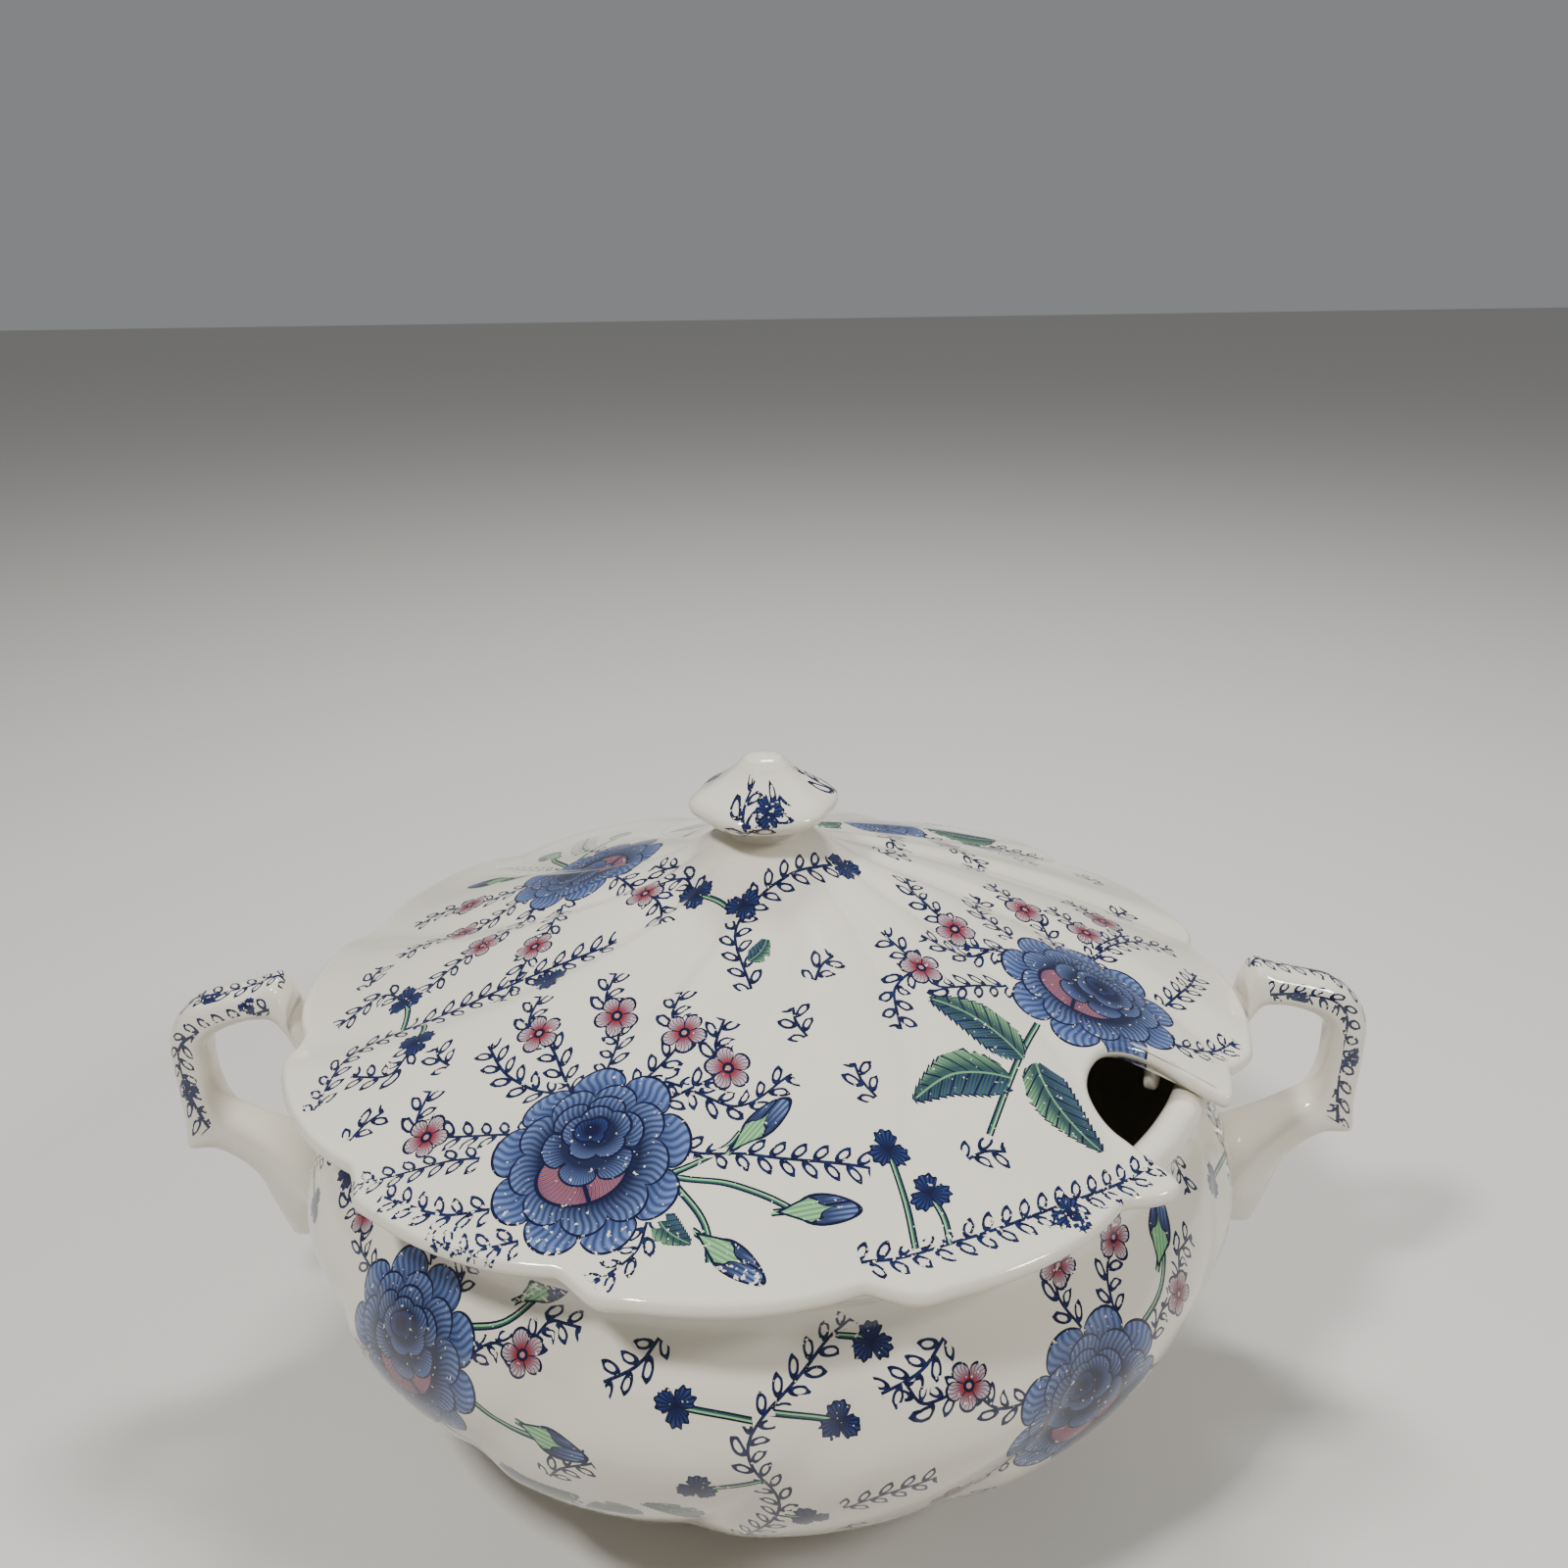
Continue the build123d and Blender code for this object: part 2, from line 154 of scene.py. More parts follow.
def bowl_section():
    """(radius, height, flute) stations along the wall, dense enough to look round."""
    length = np.cumsum([0] + [math.dist(a, b) for a, b in zip(outside, outside[1:])])
    t = np.linspace(0, length[-1], 66)
    r = through(list(zip(length, [p[0] for p in outside])), t)
    z = through(list(zip(length, [p[1] for p in outside])), t)
    share = t / length[-1]
    flute = BELLY_FLUTE * np.clip(np.sin(math.pi * np.clip(share * 1.06, 0, 1)), 0, 1) ** 0.8
    psi = np.radians(np.linspace(-38, 180, 18))
    roll = np.stack([RIM_RADIUS + RIM_ROLL * np.cos(psi),
                     rim_top - RIM_ROLL + RIM_ROLL * np.sin(psi), 0 * psi], 1)
    inner = np.stack([r - BOWL_WALL, z, 0 * z], 1)[::-1][4:-12]
    floor = [(60.0, foot_top + BOWL_WALL + 1.2, 0), (50.0, foot_top + BOWL_WALL, 0),
             (25.0, foot_top + BOWL_WALL, 0), (0.0, foot_top + BOWL_WALL, 0)]
    under = [(0.0, foot_top, 0), (30.0, foot_top, 0), (54.0, foot_top, 0)]
    return np.concatenate([under, np.stack([r, z, flute], 1), roll, inner, floor])


def bowl_place(s, t):
    """The section turned round the axis, with the flutes pressed in."""
    section = bowl_section()
    i = t * (len(section) - 1)
    r, z, flute = (np.interp(i, np.arange(len(section)), section[:, k]) for k in range(3))
    angle = s * 2 * math.pi
    turn = BOWL_SWIRL * (z - foot_top) / SWIRL_HEIGHT
    r = r - flute * crease(angle - FLUTE_START - turn, 0.3)
    return r * np.cos(angle), r * np.sin(angle), z


bowl = rolled("bowl_body", 480, len(bowl_section()) - 1, bowl_place)

# %% [markdown]
# ## The lid
# Seen from above the lid is a scalloped circle with a U-shaped bite for the ladle. Its skin follows that
# outline ring by ring towards the middle, so the rounded lip runs unbroken round the scallops and
# the notch, and no boolean is needed. The top carries the swirl; the underside is smooth.

# %% The lid's outline
lid_low, lid_high = box_mm("lid")
LID_RADIUS = 124.2
LID_SCALLOP = 4.8
LID_SWIRL = math.radians(38.0)
LID_HALF_WALL = 2.15
UNDER_WALL = 2 * LID_HALF_WALL * 1.07
NOTCH_ANGLE = math.radians(-35.2)
NOTCH_HALF = 14.5
NOTCH_END = 92.8
NOTCH_MOUTH_HALF = 16.6
lid_edge_top = lid_low[2] + 4.4
lid_rise = lid_high[2] - lid_edge_top


def scallop_radius(angle):
    """The lid's radius in a direction, smaller in the creases."""
    return LID_RADIUS - LID_SCALLOP * crease(angle - FLUTE_START, 0.2)


def lid_outline(count=3600):
    """The outline as points in order, with the tips of the notch rounded off."""
    half_gap = math.asin(NOTCH_MOUTH_HALF / 120.0)
    angle = NOTCH_ANGLE + np.linspace(half_gap, 2 * math.pi - half_gap, 3000)
    rim = np.stack([scallop_radius(angle) * np.cos(angle), scallop_radius(angle) * np.sin(angle)], 1)
    bend = np.radians(np.linspace(270, 90, 60))
    centre = NOTCH_END + NOTCH_HALF
    bite = np.stack([centre + NOTCH_HALF * np.cos(bend), NOTCH_HALF * np.sin(bend)], 1)
    cos, sin = math.cos(NOTCH_ANGLE), math.sin(NOTCH_ANGLE)
    bite = np.stack([bite[:, 0] * cos - bite[:, 1] * sin, bite[:, 0] * sin + bite[:, 1] * cos], 1)
    path = np.concatenate([rim, bite, rim[:1]])
    length = np.concatenate([[0], np.cumsum(np.hypot(*np.diff(path, axis=0).T))])
    even = np.linspace(0, length[-1], count, endpoint=False)
    path = np.stack([np.interp(even, length, path[:, k]) for k in range(2)], 1)
    reach = path[:, 0] * cos + path[:, 1] * sin
    aside = np.abs(path[:, 1] * cos - path[:, 0] * sin)
    near = np.exp(-(((reach - 119) / 7) ** 2 + ((aside - NOTCH_MOUTH_HALF) / 7) ** 2))[:, None]
    for _ in range(160):
        path = path + 0.5 * near * (np.roll(path, 1, 0) + np.roll(path, -1, 0) - 2 * path)
    return path


outline = lid_outline()
along = np.roll(outline, -1, 0) - np.roll(outline, 1, 0)
outward = np.stack([along[:, 1], -along[:, 0]], 1) / np.hypot(*along.T)[:, None]
print("outline length", round(float(np.hypot(*(np.roll(outline, -1, 0) - outline).T).sum())), "mm")


# %% Lid surface and skin
def lid_top(x, y, fluted=1.0):
    """Height of the lid's upper face."""
    r = np.hypot(x, y)
    angle = np.arctan2(y, x)
    share = np.clip(r / LID_RADIUS, 0, 1.02)
    z = lid_edge_top + lid_rise * through(
        [(0.0, 1.04), (0.097, 1.0), (0.194, 0.85), (0.363, 0.665), (0.565, 0.455), (0.765, 0.25),
         (0.905, 0.10), (1.0, 0.005), (1.03, -0.03)], share)
    turn = LID_SWIRL * (1 - share) * 1.05
    depth = through([(0.0, 0), (0.1, 0), (0.25, 1.4), (0.6, 2.0), (0.85, 2.1), (1.03, 1.4)], share)
    return z - fluted * depth * (crease(angle - FLUTE_START - turn, 0.3) - 0.15)


# Shares of the way along the section where the top face ends and where the lip ends.
TOP, LIP = 0.60, 0.68
# The flutes melt out of the underside over this share in from the edge, and wholly within a radius.
MELT_SHARE = 0.04
MELT_RADIUS, MELT_BAND = 118.0, 3.0


def lid_place(s, t):
    """Top face out to the lip, round the lip, and back along the underside."""
    index = s * len(outline)
    lookup = np.arange(len(outline) + 1)
    edge = [np.interp(index, lookup, np.append(outline[:, k], outline[0, k])) for k in range(2)]
    out = [np.interp(index, lookup, np.append(outward[:, k], outward[0, k])) for k in range(2)]
    start = math.atan2(outline[0, 1], outline[0, 0])
    even = [LID_RADIUS * np.cos(start + 2 * math.pi * s), LID_RADIUS * np.sin(start + 2 * math.pi * s)]
    inset = [e - o * LID_HALF_WALL for e, o in zip(edge, out)]
    back = np.clip((t - LIP) / (1 - LIP), 0, 1)
    share = np.where(t < TOP, 1 - (1 - np.clip(t / TOP, 0, 1)) ** 1.25, 1 - back)
    blend = share**2
    x, y = (share * ((1 - blend) * e + blend * i) for e, i in zip(even, inset))
    psi = math.pi / 2 - math.pi * np.clip((t - TOP) / (LIP - TOP), 0, 1)
    on_lip = (t >= TOP) & (t <= LIP)
    swell = np.where(on_lip, LID_HALF_WALL * np.cos(psi), 0)
    top = lid_top(x, y)
    smooth_under = lid_top(x, y, 0.0) - UNDER_WALL
    melt = np.maximum(np.clip((1 - share) / MELT_SHARE, 0, 1),
                      np.clip((MELT_RADIUS - np.hypot(x, y)) / MELT_BAND, 0, 1))
    under = (1 - melt) * (top - 2 * LID_HALF_WALL) + melt * smooth_under
    z = np.where(t < TOP, top, np.where(on_lip, top - LID_HALF_WALL * (1 - np.sin(psi)), under))
    return x + swell * out[0], y + swell * out[1], z


lid = rolled("lid_shell", 840, 100, lid_place)

# %% [markdown]
# ## The knob
# A soft six-sided cap with hollowed shoulders on a waisted stem, pressed in a mould and stuck on with
# slip. Its rings swing round as they rise, as the flutes of the lid do.

# %% Knob skin
knob_low, knob_high = box_mm("knob")
knob_base = knob_low[2]
knob_rise = knob_high[2] - knob_base
KNOB_SIDES = 6
KNOB_SWIRL = math.radians(24.0)
KNOB_FOOT = 0.08
knob_section = [
    (0.00, 9.9), (0.06, 8.6), (0.13, 9.2), (0.22, 13.2), (0.32, 17.4), (0.43, 19.1), (0.52, 17.6),
    (0.62, 14.1), (0.73, 10.4), (0.84, 7.4), (0.92, 5.6), (0.975, 3.6), (1.0, 0.0),
]


def knob_place(s, t):
    """Across the flat foot first, then up the section, with six soft sides."""
    rise = np.where(t < KNOB_FOOT, 0, (t - KNOB_FOOT) / (1 - KNOB_FOOT))
    rise = 1 - (1 - rise) ** 1.15
    r = np.where(t < KNOB_FOOT, knob_section[0][1] * t / KNOB_FOOT, through(knob_section, rise))
    angle = s * 2 * math.pi
    side = np.cos(KNOB_SIDES * (angle - KNOB_SWIRL * rise))
    soft = np.clip(np.sin(math.pi * np.clip((rise - 0.12) / 0.9, 0, 1)), 0, 1)
    r = r * (1 - 0.035 * soft * (1 - side))
    return r * np.cos(angle), r * np.sin(angle), knob_base + knob_rise * rise


knob = rolled("knob_cap", 120, 72, knob_place)

# %% [markdown]
# ## The handles
# Each handle is cast in a two-part mould: a strap that rises to a point beside the rim, turns a square
# corner, drops to a spur, and sweeps back into a wide root on the belly. It is drawn as a ladder: every
# rung has a foot on the grip's side and a foot on the outer side, and a width at each foot.

# %% Handle rungs
right_high = box_mm("handle_right")[1]
reach = right_high[0]
crest = right_high[2]
HANDLE_AROUND, HANDLE_ALONG = 40, 260
# Each rung: x and z on the grip's side, x and z on the outer side, and the widths at the two feet.
rungs = [
    (110.8, crest - 33.0, 110.8, crest - 15.5, 22, 22),
    (118.5, crest - 27.5, 120.5, crest - 14.9, 18.5, 18),
    (123.4, crest - 22.5, 125.6, crest - 11.8, 16.5, 15.5),
    (127.3, crest - 16.5, 126.4, crest - 5.5, 15.5, 13.5),
    (130.8, crest - 12.4, 129.2, crest - 0.2, 15, 12.5),
    (135.0, crest - 11.8, 135.2, crest - 2.2, 14.5, 12.5),
    (141.0, crest - 13.2, 142.5, crest - 3.9, 14, 12.5),
    (146.0, crest - 15.7, 151.0, crest - 6.4, 14, 13),
    (148.8, crest - 19.0, reach - 2.6, crest - 12.2, 14, 13),
    (149.7, crest - 24.0, reach - 0.2, crest - 20.5, 14, 13),
    (149.6, crest - 30.0, reach - 0.3, crest - 30.0, 14, 13),
    (148.4, crest - 36.0, reach - 0.9, crest - 41.0, 14.5, 13.5),
    (146.0, crest - 40.0, reach - 0.1, crest - 51.2, 15, 13.5),
    (141.5, crest - 43.2, 152.6, crest - 51.6, 15.5, 13.5),
    (136.0, crest - 46.6, 146.2, crest - 55.0, 18, 14),
    (130.0, crest - 50.2, 141.6, crest - 60.5, 24, 14),
    (124.5, crest - 54.0, 139.0, crest - 69.0, 32, 13),
    (120.0, crest - 59.0, 136.6, crest - 78.0, 38, 9),
    (116.0, crest - 65.0, 133.6, crest - 83.0, 38, 6),
    (112.0, crest - 70.0, 124.0, crest - 76.0, 28, 12),
    (109.5, crest - 72.0, 113.0, crest - 73.0, 12, 12),
]


def handle_place(s, t):
    """s goes round a rung's soft square and t from the upper root to the lower one."""
    table = np.array(rungs, float)
    where = np.arange(len(table)) / (len(table) - 1)
    inner = np.clip((t - 0.02) / 0.96, 0, 1)
    gx, gz, ox, oz, gw, ow = (through(list(zip(where, table[:, k])), inner) for k in range(6))
    angle = s * 2 * math.pi
    c, d = np.cos(angle), np.sin(angle)
    side = np.sign(c) * np.abs(c) ** 0.72
    wide = np.sign(d) * np.abs(d) ** 0.8
    close = np.clip(np.minimum(t, 1 - t) / 0.02, 0, 1) ** 0.5
    f = 0.5 + 0.5 * side * close
    x = gx + (ox - gx) * f
    z = gz + (oz - gz) * f
    y = wide * close * (gw + (ow - gw) * (0.5 + 0.5 * side)) / 2
    return x, y, z


def mirrored_place(s, t):
    """The same handle, turned half round the axis."""
    x, y, z = handle_place(s, t)
    return -x, -y, z


handle_right = rolled("handle_right_cast", HANDLE_AROUND, HANDLE_ALONG, handle_place)
handle_left = rolled("handle_left_cast", HANDLE_AROUND, HANDLE_ALONG, mirrored_place)

# %% [markdown]
# ## The locating flange
# A ring under the lid drops inside the rim and keeps the lid from sliding. It stops at both sides of
# the notch, and its cut ends are sponged round before firing.

# %% Flange skin
flange_low, flange_high = box_mm("lid_flange")
FLANGE_IN, FLANGE_OUT = 99.9, 103.7
flange_stop = math.asin((NOTCH_HALF + 1.5) / FLANGE_OUT)


def flange_place(s, t):
    """s goes round the ring's rounded section and t along the ring from one end to the other."""
    end = np.clip(np.minimum(t, 1 - t) / 0.006, 0, 1)
    close = np.sqrt(np.clip(1 - (1 - end) ** 2, 0, 1))
    angle = NOTCH_ANGLE + flange_stop + t * (2 * math.pi - 2 * flange_stop)
    c, d = np.cos(2 * math.pi * s), np.sin(2 * math.pi * s)
    wide = np.sign(c) * np.abs(c) ** 0.5 * close
    tall = np.sign(d) * np.abs(d) ** 0.5 * close
    r = (FLANGE_IN + FLANGE_OUT) / 2 + wide * (FLANGE_OUT - FLANGE_IN) / 2
    z = (flange_low[2] + flange_high[2]) / 2 + tall * (flange_high[2] - flange_low[2]) / 2
    return r * np.cos(angle), r * np.sin(angle), z


flange = rolled("lid_flange_ring", 40, 720, flange_place)

# %% [markdown]
# ## Laying out the print
# Transfer printing puts an engraved picture on the biscuit pot from a sheet of tissue, before glazing.
# The design here is made of a few motifs, each placed many times. A place is held as a shift, a turn
# and a scale, and every face of the mesh learns where it lies within the motif that it belongs to.
# Nothing is drawn yet: the drawing is done once for each motif, by the shader.

# %% The kinds of motif and their reach
PLAIN, TWIG, ROSE, LEAF, FLOWER, BUD, BELL = range(7)
KIND_NAMES = ["plain", "twig", "rose", "leaf", "flower", "bud", "bell"]
REACH_MM = {
    ROSE: (22.6, 22.6), LEAF: (12.6, 7.2), FLOWER: (5.9, 5.9), BUD: (5.2, 10.0), BELL: (4.9, 4.9),
}
TWIG_REACH_MM = 5.2


def curve(points, steps=10):
    """A smooth path through a few points."""
    points = np.array(points, float)
    where = np.arange(len(points))
    t = np.linspace(0, len(points) - 1, (len(points) - 1) * steps + 1)
    return np.stack([through(list(zip(where, points[:, k])), t) for k in range(2)], 1)


class Layout:
    """Placed motifs and twigs, in millimetres on the flat tissue."""

    def __init__(self):
        self.motifs = []
        self.twigs = []

    def put(self, kind, x, y, degrees=0.0, scale=1.0):
        """One motif, by the place of its middle."""
        self.motifs.append((kind, x, y, math.radians(degrees), scale))

    def twig(self, *points, leafy=True):
        """A curved twig through the points, or a bare green stalk."""
        self.twigs.append((curve(points), leafy))

    def sprig(self, x, y, degrees, length):
        """A short, bowed twig on its own."""
        c, s = math.cos(math.radians(degrees)), math.sin(math.radians(degrees))
        h = length / 2
        self.twig((x - h * c, y - h * s), (x - 0.9 * s, y + 0.9 * c), (x + h * c, y + h * s))

    def vine(self, points, bells):
        """A leafy vine with a bell-shaped flower on a short stalk at each of bells."""
        self.twig(*points)
        path = curve(points)
        for x, y in bells:
            root = path[np.argmin(np.hypot(path[:, 0] - x, path[:, 1] - y))]
            self.twig(root, ((root[0] + x) / 2 + 0.8, (root[1] + y) / 2), (x, y), leafy=False)
            self.put(BELL, x, y, math.degrees(math.atan2(y - root[1], x - root[0])), 1.0)

    def spray(self, x, y, degrees, scale, stalk=True):
        """A rose with its ring of small flowers, its buds and a stalk of big leaves."""
        c, s = (scale * f(math.radians(degrees)) for f in (math.cos, math.sin))

        def at(u, v):
            return x + c * u - s * v, y + s * u + c * v

        self.put(ROSE, x, y, degrees, scale)
        for u, v in [(-39, 17), (-26, 31), (-7, 37), (12, 35), (-37, -13)]:
            self.put(FLOWER, *at(u, v), degrees + 7 * u, scale)
            self.twig(at(0.5 * u, 0.5 * v), at(0.8 * u - 2, 0.8 * v - 1), at(u, v))
            self.twig(at(u, v), at(1.25 * u + 2, 1.25 * v), at(1.42 * u, 1.4 * v + 3))
        for u, v, turn in [(29, 29, -38), (46, 10, -72), (42, -12, -108)]:
            self.put(BUD, *at(u, v), degrees + turn, scale)
            self.twig(at(17, 5), at(0.75 * u, 0.7 * v + 2), at(0.9 * u, 0.9 * v), leafy=False)
        self.twig(at(20, 8), at(32, 16), at(52, 25))
        self.twig(at(20, -4), at(36, 0), at(60, -3))
        if stalk:
            self.twig(at(7, -18), at(9, -40), at(17, -68), leafy=False)
            for u, v, turn in [(24, -34, 28), (-5, -42, 158), (27, -52, -8), (0, -58, 196), (17, -70, -62)]:
                self.put(LEAF, *at(u, v), degrees + turn, scale * 0.95)


# %% [markdown]
# ## Handing the layout to a mesh
# Each face looks for the motif it lies in, in order of what was engraved on top, and takes that
# motif's material. Its corners then store where they are inside the motif. The same is done for the
# nearest twig, as a distance along it and a distance to its side.

# %% Corners and faces of a mesh as arrays
def corners(piece):
    """Each face corner's point, in millimetres."""
    mesh = piece.data
    index = np.empty(len(mesh.loops), np.int32)
    mesh.loops.foreach_get("vertex_index", index)
    points = np.empty(len(mesh.vertices) * 3)
    mesh.vertices.foreach_get("co", points)
    return points.reshape(-1, 3)[index] * 1000


def face_normals(piece):
    """Each face's normal."""
    values = np.empty(len(piece.data.polygons) * 3)
    piece.data.polygons.foreach_get("normal", values)
    return values.reshape(-1, 3)


def face_centres(piece):
    """Each face's middle, in millimetres."""
    values = np.empty(len(piece.data.polygons) * 3)
    piece.data.polygons.foreach_get("center", values)
    return values.reshape(-1, 3) * 1000


# %% Where corners lie beside a twig
FAR = 99.0
TWIG_ROOM = 9.0


def beside(u, v, line):
    """Corners' length along a line, distance to its left or right, and distance from it."""
    step = np.diff(line, axis=0)
    size = np.hypot(*step.T)
    begin = np.concatenate([[0], np.cumsum(size)])
    close = np.flatnonzero((u > line[:, 0].min() - TWIG_ROOM) & (u < line[:, 0].max() + TWIG_ROOM)
                           & (v > line[:, 1].min() - TWIG_ROOM) & (v < line[:, 1].max() + TWIG_ROOM))
    best, run, off = np.full(len(u), FAR), np.full(len(u), -FAR), np.full(len(u), FAR)
    for k in range(len(step)):
        du, dv = u[close] - line[k, 0], v[close] - line[k, 1]
        low = -TWIG_ROOM if k == 0 else 0
        high = size[k] + TWIG_ROOM if k == len(step) - 1 else size[k]
        t = np.clip((du * step[k, 0] + dv * step[k, 1]) / size[k], low, high)
        gap = np.hypot(du - t * step[k, 0] / size[k], dv - t * step[k, 1] / size[k])
        side = (dv * step[k, 0] - du * step[k, 1]) / size[k]
        better = gap < best[close]
        hit = close[better]
        best[hit] = gap[better]
        run[hit] = begin[k] + t[better]
        off[hit] = np.where(side[better] < 0, -gap[better], gap[better])
    return run, off, best, begin[-1]


# %% Faces find their motif
def put_print(piece, layout, flat, printed, wear):
    """flat(centre) gives each corner's millimetres from a centre on the tissue; printed marks faces."""
    mesh = piece.data
    loops = len(mesh.loops)
    starts = np.empty(len(mesh.polygons), np.int32)
    mesh.polygons.foreach_get("loop_start", starts)
    totals = np.empty(len(mesh.polygons), np.int32)
    mesh.polygons.foreach_get("loop_total", totals)
    face_of = np.repeat(np.arange(len(starts)), totals)

    def face_mean(values):
        return np.bincount(face_of, values, len(starts)) / totals

    kind = np.full(len(starts), PLAIN)
    inside = np.full(len(starts), 1.0)
    where = np.full((loops, 3), FAR)
    where[:, 2] = wear
    along_twig = np.full((loops, 3), -FAR)
    nearest = np.full(len(starts), TWIG_REACH_MM)
    for path, leafy in layout.twigs:
        run, off, best, end = beside(*flat(path))
        distance = face_mean(best + 2 * np.maximum(-run, 0) + 2 * np.maximum(run - end, 0))
        chosen = printed & (distance < nearest) & (face_mean(np.abs(run)) < end + 5)
        nearest[chosen] = distance[chosen]
        kind[chosen] = TWIG
        here = chosen[face_of]
        length = end if leafy else -end
        along_twig[here] = np.stack([run, off, np.full(loops, length)], 1)[here]
    for motif, x, y, angle, scale in sorted(layout.motifs, key=lambda row: -row[0]):
        u, v, centre = flat(np.array([[x, y]]))
        u, v = u - centre[0, 0], v - centre[0, 1]
        c, s = math.cos(angle) / scale, math.sin(angle) / scale
        across, up = c * u + s * v, -s * u + c * v
        wide, tall = REACH_MM[motif]
        share = face_mean(np.minimum(np.hypot(across / wide, up / tall), 9))
        better = printed & (share < 1) & ((share < inside) | (kind != motif))
        inside[better] = share[better]
        kind[better] = motif
        here = better[face_of]
        where[here, 0], where[here, 1] = across[here], up[here]
    mesh.polygons.foreach_set("material_index", kind.astype(np.int32))
    for name, values in (("motif", where), ("twig", along_twig)):
        layer = mesh.attributes.new(name, "FLOAT_VECTOR", "CORNER")
        layer.data.foreach_set("vector", values.astype(np.float32).ravel())
    print(piece.name, {KIND_NAMES[k]: int((kind == k).sum()) for k in range(len(KIND_NAMES))})


# %% [markdown]
# ## The lid's print
# Three sprays turn about the knob, vines run between them and small sprigs fill the gaps. The tissue is
# laid on from above, so the flat place of a point is simply its place in plan.

# %% Place the lid's motifs
lid_print = Layout()
lid_print.put(ROSE, -37, -88, -6)
for x, y in [(-75, -73), (-52, -52), (-34, -51), (-18, -60), (-8, -69)]:
    lid_print.put(FLOWER, x, y, 5 * x)
    lid_print.twig((-37 + 0.35 * (x + 37), -88 + 0.45 * (y + 88)), (0.8 * x - 6, 0.8 * y - 17), (x, y))
    lid_print.twig((x, y), (x - 3, y + 5), (x - 1, y + 12))
for x, y, turn in [(-1, -84, -48), (11, -103, -84), (-7, -113, -128)]:
    lid_print.put(BUD, x, y, turn)
    lid_print.twig((-20, -93), (0.6 * x - 8, 0.6 * y - 38), (x - 4, y - 1), leafy=False)
lid_print.put(LEAF, -19, -106, -50, 0.5)
for path in [
    [(-16, -88), (2, -92), (22, -93)], [(-22, -72), (-5, -78), (6, -72)],
    [(-24, -103), (-26, -110), (-34, -116)], [(-50, -105), (-60, -106), (-70, -101)],
    [(-46, -70), (-58, -62), (-64, -52)], [(-57, -97), (-68, -96), (-82, -88)],
    [(-61, -84), (-72, -82), (-90, -82)],
]:
    lid_print.twig(*path)
lid_print.put(ROSE, 79, -30, -45)
for x, y in [(37, -38), (47, -19), (68, 4), (91, 14), (84, 1)]:
    lid_print.put(FLOWER, x, y, 9 * x)
    lid_print.twig((79 + 0.5 * (x - 79), -30 + 0.55 * (y + 30)), (x + 4, y - 5), (x, y))
    lid_print.twig((x, y), (x - 4, y + 4), (x - 9, y + 9))
for x, y, turn in [(49, -52, 150), (43, -69, 200), (66, -71, -60)]:
    lid_print.put(LEAF, x, y, turn)
lid_print.twig((64, -45), (57, -61), (48, -83), leafy=False)
for path in [
    [(100, -22), (108, -12), (113, -2)], [(60, -22), (46, -28), (38, -26)],
    [(62, -16), (54, -6), (56, 4)], [(84, -9), (98, 6), (110, 10)],
    [(37, -38), (30, -46), (31, -56)], [(47, -19), (38, -10), (36, -2)],
    [(-17, -19), (-20, -12), (-28, -10)], [(-90, -22), (-98, -16), (-108, -22)],
    [(-83, -43), (-88, -52), (-98, -48)], [(97, -40), (106, -38), (116, -30)],
]:
    lid_print.twig(*path)
lid_print.spray(-48, 20, 100, 0.94)
lid_print.spray(28, 74, -150, 0.94, stalk=False)
for x, y, turn in [(61, 81, 20), (70, 66, -30), (47, 93, 70)]:
    lid_print.put(LEAF, x, y, turn)
lid_print.vine([(-3, -49), (-7, -34), (0, -22), (17, -10)], [(-17, -19), (-5, -25), (20, -8)])
lid_print.put(LEAF, -1, -38, 60, 0.36)
lid_print.vine([(-105, -56), (-99, -38), (-74, -32), (-36, -26)], [(-90, -22), (-83, -43), (-52, -33)])
lid_print.vine([(19, -113), (42, -107), (68, -93), (88, -78)], [(26, -88), (34, -97), (63, -99)])
lid_print.vine([(-12, 104), (2, 88), (-8, 70), (2, 54)], [(10, 96), (-16, 84), (9, 66)])
for x, y, turn in [
    (14, -43, 60), (22, -72, 120), (-102, -4, 80), (-25, -2, 140), (47, -88, 20), (8, -58, 110),
    (-75, -51, 120), (34, 12, 30), (100, 30, 60), (-90, -66, 40), (58, 28, 100), (96, 56, 140),
]:
    lid_print.sprig(x, y, turn, 9)


def lid_flat(path):
    """Corners and path in millimetres, in plan."""
    return lid_points[:, 0], lid_points[:, 1], np.array(path, float)


lid_points = corners(lid)
# The print wears thin over the last 16 mm before the edge.
lid_wear = np.clip((np.hypot(lid_points[:, 0], lid_points[:, 1]) - 108) / 16, 0, 1)
put_print(lid, lid_print, lid_flat, face_normals(lid)[:, 2] > 0.12, lid_wear)

# %% [markdown]
# ## The bowl's print
# The tissue is wrapped round the bowl in a band. Its flat place is an angle round the axis, in degrees,
# and a length up the wall, and one degree is worth more millimetres where the wall is further out.

# %% Place the bowl's motifs
bowl_print = Layout()
WALL_RADIUS = 118
wall_r, wall_z = (np.array([row[k] for row in outside]) for k in (0, 1))
wall_length = np.concatenate([[0], np.cumsum(np.hypot(np.diff(wall_r), np.diff(wall_z)))])


def up_wall(z):
    """The length up the wall at a height."""
    return float(np.interp(z, wall_z, wall_length))


def deg(x, z, turn, reach):
    """A point reach mm away from (x degrees, z up the wall), in the direction turn."""
    aside, up = reach * math.cos(math.radians(turn)), reach * math.sin(math.radians(turn))
    return x + math.degrees(aside / WALL_RADIUS), z + up


